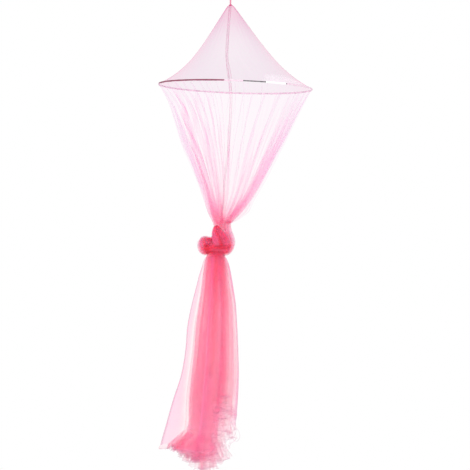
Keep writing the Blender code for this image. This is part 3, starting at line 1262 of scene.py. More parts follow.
@dataclass
class Net:
    """Sizes that the net's pieces share: cloth round it at four levels, and down it."""

    folds: Folds = field(default_factory=Folds)
    hoop: Hoop = field(default_factory=Hoop)
    cloth_hoop: float = 1.90
    cloth_neck: float = 2.95
    cloth_tail: float = 4.10
    cloth_hem: float = 7.60
    skirt_length: float = 0.59
    knot_length: float = 0.56
    tail_length: float = 0.80
    # depth in the skirt, depth in the tail, sideways lean in degrees, level of the hem
    main_folds: Rows = (
        (0.9, 0.8, 2.0, 1.765),
        (0.6, 1.0, -3.0, 1.782),
        (1.0, 0.7, 3.0, 1.806),
        (0.7, 0.9, 0.0, 1.830),
        (1.0, 1.0, -4.0, 1.842),
        (0.5, 0.7, 3.0, 1.850),
        (0.9, 0.9, 0.0, 1.836),
        (1.0, 0.6, -3.0, 1.812),
        (0.7, 1.0, 2.0, 1.786),
        (1.0, 0.8, 4.0, 1.798),
        (0.8, 0.5, -3.0, 1.816),
        (0.6, 1.0, 2.0, 1.850),
        (1.0, 0.7, -2.0, 1.868),
        (0.5, 1.0, 4.0, 1.846),
        (0.9, 0.6, -3.0, 1.842),
        (1.0, 0.9, -2.0, 1.812),
    )
    fold_shape: tuple[float, ...] = (0.0, 0.55, 1.0, 0.45)

    def main_fold(self, azimuth: Array, column: int, share: float) -> Array:
        """Depth of the main folds, 0 on a ridge and 1 in a full trough.

        Args:
            azimuth: Angles to read it at.
            column: Column of the table: 0 for the skirt, 1 for the tail.
            share: How much of each fold's sideways lean applies.

        Returns:
            The depth at each angle.
        """
        rows = np.asarray(self.main_folds)
        places = len(rows) * len(self.fold_shape)
        blend = np.tile(np.arange(len(self.fold_shape)) / len(self.fold_shape), len(rows))
        row = np.repeat(np.arange(len(rows)), len(self.fold_shape))
        lean = rows[row, 2] * (1 - blend) + np.roll(rows[:, 2], -1)[row] * blend
        angle = TURN * np.arange(places) / places + np.radians(lean) * share
        depth = rows[row, column] * np.tile(self.fold_shape, len(rows))
        return np.interp(azimuth % TURN, angle, depth, period=TURN)

    def hem_level(self, azimuth: Array) -> Array:
        """Level of the hem below the hook at each angle.

        Args:
            azimuth: Angles to read it at.

        Returns:
            The levels, downwards, in metres.
        """
        rows = np.asarray(self.main_folds)
        angle = TURN * np.arange(len(rows)) / len(rows)
        return np.interp(azimuth % TURN, angle, rows[:, 3], period=TURN)


@dataclass
class Skirt:
    """The net from the hoop to the neck."""

    net: Net
    rings: int = 70
    calm: float = 0.004
    calm_share: float = 0.03
    loose_share: float = 0.42
    loose_at_hoop: float = 0.12
    gathering: float = 1.5
    core: float = 0.12
    swirl: float = 0.25
    unevenness: float = 0.07
    # level below the hook, middle in x, reach of the outermost folds, depth of the folds
    sections: Rows = (
        (0.3783, 0.0190, 0.2980, 0.000),
        (0.4400, 0.0200, 0.2670, 0.010),
        (0.5000, 0.0165, 0.2440, 0.020),
        (0.5980, 0.0085, 0.2090, 0.040),
        (0.6680, 0.0045, 0.1790, 0.070),
        (0.7350, 0.0000, 0.1500, 0.100),
        (0.7940, -0.0060, 0.1200, 0.130),
        (0.8520, -0.0180, 0.0870, 0.150),
        (0.8850, -0.0270, 0.0630, 0.150),
        (0.9050, -0.0325, 0.0450, 0.100),
    )
    # azimuth in degrees, half width in degrees, share of the gathered net
    bundles: Rows = (
        (20.0, 9.0, 0.9),
        (48.0, 7.0, 0.7),
        (75.0, 8.0, 0.7),
        (101.0, 6.0, 0.4),
        (128.0, 7.0, 0.8),
        (150.0, 9.0, 0.9),
        (210.0, 3.5, 0.5),
        (225.0, 8.0, 1.6),
        (246.0, 4.0, 0.6),
        (261.0, 5.0, 1.4),
        (297.0, 7.0, 0.7),
        (320.0, 8.0, 1.0),
        (340.0, 9.0, 1.2),
    )
    # azimuth in degrees, half width in degrees, extra closeness, level it starts at
    pleats: Rows = (
        (212.5, 0.8, 4.0, 0.375),
        (221.5, 0.6, 2.0, 0.385),
        (233.0, 0.7, 2.2, 0.375),
        (239.0, 0.5, 1.4, 0.400),
        (246.5, 0.6, 2.2, 0.390),
        (256.0, 0.6, 1.6, 0.480),
        (288.0, 0.6, 1.8, 0.620),
        (294.5, 0.5, 2.6, 0.540),
        (301.0, 0.6, 2.6, 0.510),
        (309.0, 0.6, 2.0, 0.440),
        (320.0, 0.7, 2.2, 0.400),
        (331.0, 0.8, 2.0, 0.380),
        (344.0, 0.6, 1.8, 0.560),
        (30.0, 0.7, 2.2, 0.40),
        (63.0, 0.6, 1.6, 0.46),
        (92.0, 0.6, 1.6, 0.50),
        (118.0, 0.7, 2.0, 0.40),
        (140.0, 0.7, 2.2, 0.38),
        (160.0, 0.6, 1.8, 0.42),
    )
    pleating: float = 1.9
    stray: tuple[float, float] = (350.0, 10.0)
    stray_reach: float = 0.046
    stray_drop: float = 0.034
    stray_level: float = 0.893
    pleat_start: float = 0.10
    most_crowded: float = 0.52
    sheer_closeness: float = 0.76
    neck_share: float = 0.75
    sewn_rings: float = 6.0
    seam_width: float = 8.0 * MM
    seam_lift: float = 0.8 * MM
    # level, azimuth in degrees of the front seam
    front_seam: Rows = (
        (0.378, 266.3),
        (0.540, 266.0),
        (0.650, 265.0),
        (0.790, 259.5),
        (0.890, 262.0),
    )

    def columns_at(self, excess: float) -> tuple[Array, Array]:
        """Angle of each column where there is this much more cloth than outline.

        Args:
            excess: Cloth in the ring over the outline's length, less 1.

        Returns:
            The angles, rising, from 0 round the ring, and the cloth over outline there.
        """
        fine = np.linspace(0.0, TURN, 2881)
        gathered = np.zeros_like(fine)
        for degrees, half_width, share in self.bundles:
            gathered += share / half_width * lobe(fine, degrees, half_width)
        loose = min(self.loose_share, self.loose_at_hoop * (1.0 + excess))
        gathered *= (1.0 - loose) / gathered[:-1].mean()
        gathered += loose
        calm = min(excess, self.calm + self.calm_share * excess)
        density = 1.0 + calm + (excess - calm) * gathered
        steps = 0.5 * (density[1:] + density[:-1])
        laid = totals(steps)
        azimuth = np.interp(self.net.folds.cloth_share(), laid / laid[-1], fine)
        return azimuth, np.interp(azimuth, fine, density)

    def cloth_at(self, share: float) -> float:
        """Length of cloth round the ring at this share of the way down."""
        grown = share**self.gathering
        return self.net.cloth_hoop + (self.net.cloth_neck - self.net.cloth_hoop) * grown

    def pleat_lines(self, azimuth: Array, level: float, reach: float) -> Array:
        """Extra closeness where narrow pleats run down the net.

        Args:
            azimuth: Angle of each column.
            level: Level below the hook.
            reach: Radius of the outline there.

        Returns:
            The extra closeness of each column.
        """
        extra = np.zeros_like(azimuth)
        wider = self.sections[0][2] / reach
        for degrees, half_width, gain, start in self.pleats:
            strength = self.pleating * gain * ease((level - start) / self.pleat_start)
            extra += strength * lobe(azimuth, degrees, half_width * wider)
        return extra

    def grid(self) -> tuple[Array, Lay]:
        """Work out the rings of points and how the net lies in them.

        Returns:
            The points, rings x columns x 3, and the lay.
        """
        net, folds = self.net, self.net.folds
        top, foot = self.sections[0][0], self.sections[-1][0]
        points = np.empty((self.rings, folds.total, 3))
        lay = Lay.blank(self.rings, folds.total)
        for row, share in enumerate(np.linspace(0.0, 1.0, self.rings)):
            level = top + (foot - top) * share
            middle, reach, depth = along(self.sections, np.array(level))
            length = self.cloth_at(share)
            azimuth, density = self.columns_at(max(length / (TURN * reach) - 1.0, 0.0))
            edge = reach * (1.0 - depth * net.main_fold(azimuth, 0, share))
            set_in = self.unevenness * min(1.0, 1.5 * share)
            ridge = 1.0 - set_in * folds.uneven(0, 3.0 * share)
            stray = lobe(folds.starts(azimuth), *self.stray)
            loose = stray * (np.arange(folds.count) % 3 == 0)
            stray_out = self.stray_reach * bell(level - self.stray_level, 0.036)
            ridge = ridge + loose * stray_out / reach
            sharp = 0.05 + 0.6 * share
            angle, distance = folds.ring(
                azimuth, edge, ridge, length, self.core, self.swirl, sharp
            )
            across = distance * np.cos(angle)
            hanging = loose[folds.ridge] * (1 - folds.tip)
            tilt = math.tan(net.hoop.tilt) * (1 - share)
            low = bell(level - self.stray_level - 5 * MM, 0.014)
            sag = self.stray_drop * hanging * low
            points[row] = joined(
                middle + across, distance * np.sin(angle), -level - across * tilt - sag
            )
            lay.near[row], lay.far[row] = folds.spans(length, level - top)
            lines = self.pleat_lines(azimuth, level, reach) * (1.0 - share)
            lay.crowding_and_shade[row] = self.most_crowded * (1 - np.exp(-(density - 1.0) / 3.6))
            lay.crowding_and_shade[row] += 0.025 * lines - 0.3 * hanging * share
            thicker = 0.20 + 1.05 * np.sin(azimuth) ** 2
            near_neck = ease((share - self.neck_share) / (1.0 - self.neck_share))
            lay.closeness[row] = self.sheer_closeness + thicker * near_neck
            lay.closeness[row] *= (1.0 + lines) * (1.0 - 0.2 * hanging * share)
        return points, lay

    def seam(self, net: Material) -> tuple[Object, Object]:
        """The front seam's strip and its two rolled edges, just outside the folds.

        Args:
            net: Finish of the strip.

        Returns:
            The strip and its edges.
        """
        top, foot = self.sections[0][0], self.sections[-1][0]
        level = np.linspace(0.384, 0.896, 80)
        middle, reach, _ = along(self.sections, level).T
        share = (level - top) / (foot - top)
        azimuth = np.radians(along(self.front_seam, level)[:, 0])
        half = 0.5 * self.seam_width * (1.0 - 0.6 * share) / reach
        across = np.linspace(-1.0, 1.0, 5)
        angle = azimuth[:, None] + half[:, None] * across
        inside = 1 - self.unevenness * ease(share / 0.6)
        distance = reach[:, None] * inside[:, None] + self.seam_lift
        side = distance * np.cos(angle)
        tilt = math.tan(self.net.hoop.tilt) * (1 - share[:, None])
        grid = joined(
            middle[:, None] + side, distance * np.sin(angle), -level[:, None] - side * tilt
        )
        places = joined(0.5 * self.seam_width * across, level[:, None])
        thread = SolidFinish(
            "skirt_seam_thread", (0.70, 0.34, 0.48), (0.54, 0.22, 0.34), 0.01, 0.7,
            alpha=0.7,
        ).build()
        return felled_seam(
            ("skirt_front_seam", "skirt_seam_edges"), grid, Lay.strip(places, 0.4, 1.2),
            net, thread, 0.45 * MM,
        )


@dataclass
class Knot:
    """The overhand knot: the gathered net's route from its neck to its tail."""

    net: Net
    steps: int = 6
    middle: tuple[float, float, float] = (-0.045, 0.0, -0.978)
    press: float = 1.16
    swell: float = 1.42
    creases: int = 13
    crease_depth: float = 0.17
    loose_room: float = 0.05
    core: float = 0.35
    swirl: float = 0.5
    unevenness: float = 0.10
    seed: int = 29
    # right of the knot's middle, behind it, above it, radius that the net fills if free,
    # closeness of its threads, crowding
    route: Rows = (
        (0.0125, 0.004, 0.071, 0.0420, 1.26, 0.50),
        (0.0190, 0.004, 0.053, 0.0330, 0.85, 0.46),
        (0.0270, 0.005, 0.034, 0.0250, 0.68, 0.36),
        (0.0350, 0.005, 0.012, 0.0215, 0.76, 0.38),
        (0.0370, -0.003, -0.012, 0.0205, 0.90, 0.52),
        (0.0280, -0.020, -0.031, 0.0180, 1.50, 0.66),
        (0.0020, -0.031, -0.031, 0.0180, 1.50, 0.70),
        (-0.0210, -0.030, -0.029, 0.0180, 1.50, 0.70),
        (-0.0400, -0.021, -0.031, 0.0125, 1.70, 0.95),
        (-0.0560, -0.010, -0.031, 0.0190, 1.10, 0.54),
        (-0.0630, 0.004, -0.008, 0.0170, 0.75, 0.42),
        (-0.0520, 0.022, -0.002, 0.0160, 0.90, 0.50),
        (-0.0300, 0.036, -0.004, 0.0150, 1.20, 0.54),
        (-0.0100, 0.040, 0.008, 0.0140, 1.30, 0.56),
        (-0.0040, 0.032, 0.032, 0.0120, 1.50, 0.58),
        (-0.0080, 0.010, 0.049, 0.0100, 1.60, 0.60),
        (-0.0100, -0.016, 0.048, 0.0105, 1.60, 0.60),
        (-0.0070, -0.032, 0.030, 0.0185, 1.60, 0.60),
        (0.0020, -0.038, 0.008, 0.0280, 1.60, 0.60),
        (0.0030, -0.025, -0.012, 0.0270, 1.60, 0.70),
        (-0.0080, 0.001, -0.034, 0.0260, 1.50, 0.62),
        (-0.0125, 0.003, -0.056, 0.0275, 1.40, 0.56),
    )

    def places(self) -> tuple[Array, ...]:
        """Points down the net's middle, its thickness, closeness and crowding."""
        values = through(self.route, self.steps * (len(self.route) - 1) + 1)
        return values[:, :3] + np.asarray(self.middle), *values[:, 3:].T

    def frames(self, places: Array) -> tuple[Array, Array]:
        """Side and across directions at each place, untwisted at the tail.

        Args:
            places: Points down the route.

        Returns:
            The side direction and the direction across it, at each place.
        """
        down = Vector((0.0, 0.0, -1.0))
        ways = [Vector(b - a).normalized() for a, b in zip(places, places[2:])]
        ways = [down, *ways, down]
        side = Vector((1.0, 0.0, 0.0))
        sides = [side]
        for before, after in zip(ways, ways[1:]):
            side = before.rotation_difference(after) @ side
            sides.append((side - after * side.dot(after)).normalized())
        twist = math.atan2(sides[-1].y, sides[-1].x)
        first, second = [], []
        for index, (way, side) in enumerate(zip(ways, sides)):
            across = way.cross(side)
            back = twist * index / (len(places) - 1)
            first.append(side * math.cos(back) + across * math.sin(back))
            second.append(across * math.cos(back) - side * math.sin(back))
        return np.array(first), np.array(second)

    def dents(self, azimuth: Array, share: float) -> Array:
        """Depth of the long creases, up to 1, and below 0 where the net bulges.

        Args:
            azimuth: Angle of each column.
            share: Share of the way through the knot.

        Returns:
            The depth at each column.
        """
        rng = np.random.default_rng(self.seed)
        depth = np.zeros_like(azimuth)
        for index in range(self.creases):
            start, drift, width, phase = rng.uniform(0.0, 1.0, 4)
            middle = (index + 0.6 * start) / self.creases * TURN
            middle += (drift - 0.3) * 1.6 * share
            strength = 0.7 + 0.3 * math.sin(TURN * (phase + 2.6 * share))
            half = math.radians(5.5 + 6.0 * width)
            sign = -0.9 if index % 2 else 1.0
            depth += sign * strength * bell(round_trip(azimuth, middle), half)
        depth = np.clip(depth, -1.0, 1.0)
        return depth * ease(9.0 * share) * ease(10.0 * (1.0 - share))

    def grid(self, top: Array, foot: Array) -> tuple[Array, Lay]:
        """Work out the rings of points and how the net lies in them.

        Args:
            top: Angle of each column at the neck.
            foot: Angle of each column at the top of the tail.

        Returns:
            The points, rings x columns x 3, and the lay.
        """
        net, folds = self.net, self.net.folds
        places, radii, close, crowded = self.places()
        sides, acrosses = self.frames(places)
        run = travelled(places)
        points = np.empty((len(places), folds.total, 3))
        lay = Lay.blank(len(places), folds.total)
        heart = np.asarray(self.middle)
        for row, place in enumerate(places):
            share = run[row] / run[-1]
            length = net.cloth_neck + (net.cloth_tail - net.cloth_neck) * share
            azimuth = top * (1 - share) + foot * share
            aim = self.aims(sides[row], acrosses[row], azimuth)
            swell = 1.0 + (self.swell - 1.0) * ease(6 * share)
            loose = 1.0 - ease(share / 0.07) + ease((share - 0.90) / 0.06)
            free = self.room(places, row, aim) + self.loose_room * loose
            wide = swell * radii[row]
            edge = np.minimum(wide, free)
            pressed = np.clip(1.0 - free / wide, 0.0, 1.0)
            ridge = 1.0 - self.unevenness * folds.uneven(1, 9.0 * share)
            angle, distance = folds.ring(
                azimuth, edge, ridge, length, self.core, self.swirl
            )
            dent = self.dents(angle % TURN, share)
            fold_in = 1.0 - distance / np.maximum(edge, 1e-4)
            distance *= 0.96 - self.crease_depth * dent
            aim = self.aims(sides[row], acrosses[row], angle)
            points[row] = place + aim * distance[:, None]
            lay.near[row], lay.far[row] = folds.spans(length, run[row])
            outward = (place - heart) / max(np.linalg.norm(place - heart), 1e-6)
            outer = np.clip(aim @ outward, 0.0, 1.0)
            # The crowding here paints light and shade: creases, the places where strands
            # press together and the insides of folds are painted darker, and bulges and
            # the faces turned out from the knot's middle lighter.
            lay.crowding_and_shade[row] = (
                crowded[row] - 0.12 * outer + 0.42 * dent + 0.14 * ease(2.0 * pressed)
                + 0.06 * fold_in
            )
            sheer = 0.40 * outer * (1.0 - min(loose, 1.0))
            lay.closeness[row] = close[row] * (1.0 - sheer)
        return points, lay

    @staticmethod
    def aims(side: Array, across: Array, azimuth: Array) -> Array:
        """Unit directions out from the route at these angles."""
        return side * np.cos(azimuth)[:, None] - across * np.sin(azimuth)[:, None]

    def room(self, places: Array, row: int, aim: Array) -> Array:
        """How far the net can swell each way before it meets another strand.

        Args:
            places: Points down the route.
            row: Number of the place.
            aim: Direction of each column.

        Returns:
            The room along each direction.
        """
        apart = places - places[row]
        towards = aim @ apart.T
        reach = (apart**2).sum(axis=1)[None, :] / (2.0 * np.maximum(towards, 1e-9))
        reach = np.where(towards > 1e-9, reach, np.inf)
        return self.press * reach.min(axis=1)


@dataclass
class Tail:
    """The net from the knot to the top of the hem's ruffle."""

    net: Net
    rings: int = 92
    spacing: float = 1.15
    seed: int = 21
    core: float = 0.42
    swirl: float = 0.45
    unevenness: float = 0.09
    # level below the hook, middle in x, reach to left, right, front and back, fold depth
    sections: Rows = (
        (1.034, -0.0550, 0.040, 0.038, 0.036, 0.036, 0.05),
        (1.046, -0.0560, 0.046, 0.044, 0.039, 0.039, 0.08),
        (1.075, -0.0565, 0.055, 0.055, 0.044, 0.043, 0.12),
        (1.111, -0.0570, 0.066, 0.064, 0.050, 0.048, 0.16),
        (1.160, -0.0575, 0.078, 0.074, 0.058, 0.056, 0.20),
        (1.208, -0.0580, 0.090, 0.083, 0.066, 0.064, 0.22),
        (1.306, -0.0625, 0.106, 0.096, 0.076, 0.074, 0.22),
        (1.404, -0.0650, 0.112, 0.103, 0.082, 0.082, 0.22),
        (1.502, -0.0700, 0.124, 0.111, 0.090, 0.088, 0.22),
        (1.600, -0.0780, 0.148, 0.116, 0.096, 0.094, 0.24),
        (1.698, -0.0850, 0.169, 0.114, 0.102, 0.100, 0.26),
        (1.780, -0.0950, 0.181, 0.104, 0.104, 0.102, 0.26),
        (1.870, -0.1050, 0.175, 0.098, 0.104, 0.102, 0.26),
    )
    # level, share of the reach that the crowded folds fill: left, right, front, back
    crowd: Rows = (
        (1.034, 1.00, 1.00, 1.00, 1.00),
        (1.075, 0.90, 0.88, 0.96, 0.96),
        (1.111, 0.84, 0.86, 0.95, 0.95),
        (1.208, 0.78, 0.90, 0.92, 0.92),
        (1.306, 0.79, 0.92, 0.90, 0.90),
        (1.404, 0.82, 0.92, 0.88, 0.88),
        (1.502, 0.80, 0.90, 0.86, 0.86),
        (1.600, 0.68, 0.86, 0.84, 0.84),
        (1.698, 0.57, 0.80, 0.82, 0.82),
        (1.780, 0.60, 0.86, 0.82, 0.82),
        (1.870, 0.64, 0.90, 0.82, 0.82),
    )
    # azimuth in degrees of the single folds that stand out sheer from the crowd
    standing: tuple[float, ...] = (6.0, 70.0, 112.0, 180.0, 250.0, 348.0)
    # azimuth in degrees, how far the hem is lifted there, height of the ruffle there,
    # share of the way out to the outline that the ruffle flares
    lifts: Rows = (
        (0.0, 0.030, 0.050, 0.10),
        (20.0, 0.010, 0.060, 0.15),
        (100.0, 0.000, 0.070, 0.20),
        (120.0, 0.000, 0.078, 0.30),
        (140.0, 0.000, 0.080, 0.50),
        (160.0, 0.004, 0.074, 0.80),
        (180.0, 0.002, 0.068, 1.00),
        (198.0, 0.000, 0.070, 1.00),
        (210.0, -0.010, 0.078, 0.85),
        (224.0, -0.018, 0.086, 0.62),
        (244.0, -0.022, 0.090, 0.28),
        (260.0, 0.000, 0.070, 0.30),
        (272.0, 0.070, 0.050, 0.15),
        (284.0, 0.180, 0.034, 0.10),
        (298.0, 0.215, 0.030, 0.10),
        (312.0, 0.235, 0.028, 0.10),
        (326.0, 0.215, 0.030, 0.10),
        (342.0, 0.110, 0.038, 0.10),
        (360.0, 0.030, 0.050, 0.10),
    )
    streaks: int = 15
    # how far the hem sinks towards the tip of the fold that stands out at the left
    left_dip: float = 0.008
    knot_shade: float = 0.12
    sewn_rings: float = 5.0
    below_box: float = 0.012
    # level where the tail starts to grow sheerer, and how far down it goes on doing so
    thinning: tuple[float, float] = (1.54, 0.24)

    def azimuths(self) -> Array:
        """Angle of each column, its folds unevenly wide.

        Returns:
            The angles, rising.
        """
        folds = self.net.folds
        rng = np.random.default_rng(self.seed)
        width = folds.length * rng.uniform(0.75, 1.25, folds.count)
        starts = totals(width) / width.sum() * TURN
        return starts[folds.fold] + np.diff(starts)[folds.fold] * folds.share

    def stands(self, azimuth: Array) -> Array:
        """1 for each ridge that stands out sheer from the crowd, 0 for the rest.

        Args:
            azimuth: Angle of each column.

        Returns:
            A number for each ridge.
        """
        folds = self.net.folds
        start = folds.starts(azimuth)
        out = np.zeros(folds.count)
        for degrees in self.standing:
            out[np.argmin(np.abs(round_trip(start, math.radians(degrees))))] = 1.0
        return out

    def hem_levels(self, azimuth: Array) -> tuple[Array, Array, Array]:
        """Level of the cut edge, and height and flare of the ruffle, for each column.

        Args:
            azimuth: Angle of each column.

        Returns:
            The levels, the heights and the flares.
        """
        folds = self.net.folds
        lift, height, flare = along(self.lifts, np.degrees(azimuth) % 360.0).T
        uneven = folds.across(np.sin(folds.phase[:, 2]))
        level = self.net.hem_level(azimuth) - lift
        return level + (0.008 + 0.10 * np.maximum(lift, 0.0)) * uneven, height, flare

    def tone(self, azimuth: Array, share: float) -> Array:
        """Long streaks where the folds lie closer or looser, -1 to 1.

        Args:
            azimuth: Angle of each column.
            share: Share of the way down.

        Returns:
            The tone of each column.
        """
        rng = np.random.default_rng(self.seed + 1)
        total = np.zeros_like(azimuth)
        for index in range(self.streaks):
            start, width, strength, phase = rng.uniform(0.0, 1.0, 4)
            middle = TURN * (index + 0.7 * start) / self.streaks
            middle += 0.10 * math.sin(TURN * phase + 3.0 * share)
            height = (1.0 if index % 2 else -1.0) * (0.5 + 0.5 * strength)
            half = math.radians(4.5 + 5.0 * width)
            total += height * bell(round_trip(azimuth, middle), half)
        return np.clip(total, -1.0, 1.0)

    def grid(self, first: Array) -> tuple[Array, Lay, tuple[Array, ...]]:
        """Work out the rings of points.

        Args:
            first: The knot's last ring, which the tail hangs from.

        Returns:
            The points, how the net lies in them, and for each column the height of the
            ruffle below, how far it flares to the right and behind, and how much closer
            it is gathered.
        """
        net, folds = self.net, self.net.folds
        azimuth = self.azimuths()
        stands = self.stands(azimuth)
        top = self.sections[0][0]
        lowest = -CAD_BOX[0][2] + self.below_box
        levels, ruffle, flare = self.hem_levels(azimuth)
        lone_left = folds.across(stands) * bell(round_trip(azimuth, math.pi), 0.4)
        levels = levels + self.left_dip * lone_left**2
        ruffle = ruffle * (1.0 - 0.75 * lone_left)
        cut = np.minimum(levels, lowest) - ruffle
        points = np.empty((self.rings, folds.total, 3))
        lay = Lay.blank(self.rings, folds.total)
        for row, share in enumerate(np.linspace(0.0, 1.0, self.rings)):
            level = top + share**self.spacing * (cut - top)
            wander = np.radians(4.0) * folds.across(
                np.sin(folds.phase[:, 3] + 4.0 * share) - np.sin(folds.phase[:, 3])
            )
            angle = azimuth + wander * (1 - folds.across(stands))
            middle, left, right, front, back, depth = along(self.sections, level).T
            crowd = along(self.crowd, level)
            cosine, sine = np.cos(angle), np.sin(angle)
            sideways = np.where(cosine > 0, right, left)
            endways = np.where(sine > 0, back, front)
            full_x = np.where(cosine > 0, crowd[:, 1], crowd[:, 0])
            full_y = np.where(sine > 0, crowd[:, 3], crowd[:, 2])
            full = full_x * cosine**2 + full_y * sine**2
            edge = 1.0 / np.sqrt((cosine / sideways) ** 2 + (sine / endways) ** 2)
            edge *= full
            edge *= 1.0 - 0.3 * depth * net.main_fold(angle, 1, 1.0)
            set_in = self.unevenness * min(1.0, 4 * share)
            ridge = 1.0 - set_in * folds.uneven(1, 5.0 * share)
            ridge = ridge * (1 - stands) + stands / folds.starts(full)
            length = net.cloth_tail + (net.cloth_hem - net.cloth_tail) * share
            turn, distance = folds.ring(angle, edge, ridge, length, self.core, self.swirl)
            across, behind = distance * np.cos(turn), distance * np.sin(turn)
            points[row] = joined(middle + across, behind, -level)
            lay.near[row], lay.far[row] = folds.spans(length, net.tail_length * share)
            beyond = np.clip(distance / edge - 1.0, 0.0, 1.0)
            streak = self.tone(turn % TURN, share)
            near_knot = np.exp(-(level - top) / self.knot_shade)
            lay.crowding_and_shade[row] = 0.19 + 0.33 * np.exp(-beyond / 0.12)
            lay.crowding_and_shade[row] += (0.08 + 0.32 * near_knot) * streak
            lay.closeness[row] = (1.15 + 0.45 * streak) * (1.0 + 2.2 * ease(14.0 * beyond))
            lay.closeness[row] *= 1.0 + 0.30 * near_knot
            thin = ease((level - self.thinning[0]) / self.thinning[1])
            lay.closeness[row] *= 1.0 - 0.24 * thin
        spread = np.clip(edge / full * folds.across(0.72 + 0.28 * folds.set_in), 0.0, None)
        flared = flare * np.maximum(spread - distance, 0.01)
        aside = joined(flared * np.cos(turn), flared * np.sin(turn))
        gathers = 1.0 + 1.9 * bell(round_trip(azimuth, math.radians(190.0)), 0.55)
        sewn = ease(1.0 - np.arange(self.rings) / self.sewn_rings)[:, None, None]
        return points + (first - points[0])[None] * sewn, lay, (ruffle, aside, gathers)


@dataclass
class Hem:
    """The hem's ruffle and the overlocked thread along its edge."""

    net: Net
    rings: int = 14
    finer: int = 4
    wave: float = 0.034
    amplitude: float = 0.010
    edge_radius: float = 0.4 * MM
    droop: float = 0.7
    seed: int = 5
    knots: int = 220
    below_box: float = 0.004
    cloth: float = 12.0
    crowding_and_shade: float = 0.5
    closeness: float = 0.72

    def grid(self, last: Array, ruffle: Array, flare: Array) -> tuple[Array, Array]:
        """Work out the ruffle's points, and the distance of each column along its ring.

        Args:
            last: The tail's last ring.
            ruffle: Height of the ruffle at each of the tail's columns.
            flare: How far it flares to the right and behind at each column.

        Returns:
            The points, and the distances.
        """
        rng = np.random.default_rng(self.seed)
        count = len(last) * self.finer
        at = np.arange(count) / self.finer
        whole = np.arange(len(last) + 1)
        line = straight(at, whole, looped(last))
        height = np.interp(at, whole, looped(ruffle))
        aside = np.column_stack((straight(at, whole, looped(flare)), 0.0 * at))
        ahead = heading(line, 6)
        out = unit(joined(ahead[:, 1], -ahead[:, 0], 0.0), 1e-3)
        fall = unit(np.cross(ahead, out) + self.droop * np.array((0.0, 0.0, -1.0)))
        run = travelled(line)
        jitter = rng.uniform(-1.0, 1.0, (self.knots, 3))
        place = np.arange(count) / count * self.knots
        soft = straight(place, np.arange(self.knots + 1), looped(jitter))
        phase = TURN * run / self.wave + 2.6 * soft[:, 0]
        swell = self.amplitude * (1.0 + 0.6 * soft[:, 1])
        points = np.empty((self.rings, count, 3))
        for row, share in enumerate(np.linspace(0.0, 1.0, self.rings)):
            swing = swell * share**1.2 * np.sin(phase + 1.4 * share)
            swing += 0.3 * swell * share * np.sin(2.7 * phase + 2.0)
            waver = 0.008 * share**2 * soft[:, 2]
            drop = height * share * (1.0 - 0.14 * np.abs(np.sin(phase)) * share)
            sway = 0.5 * swell * share**1.5 * np.cos(phase)
            points[row] = line + out * (swing + waver)[:, None] + fall * drop[:, None]
            points[row] += ahead * sway[:, None] + aside * share**0.8
        points[..., 2] = np.maximum(points[..., 2], CAD_BOX[0][2] - self.below_box)
        return points, run


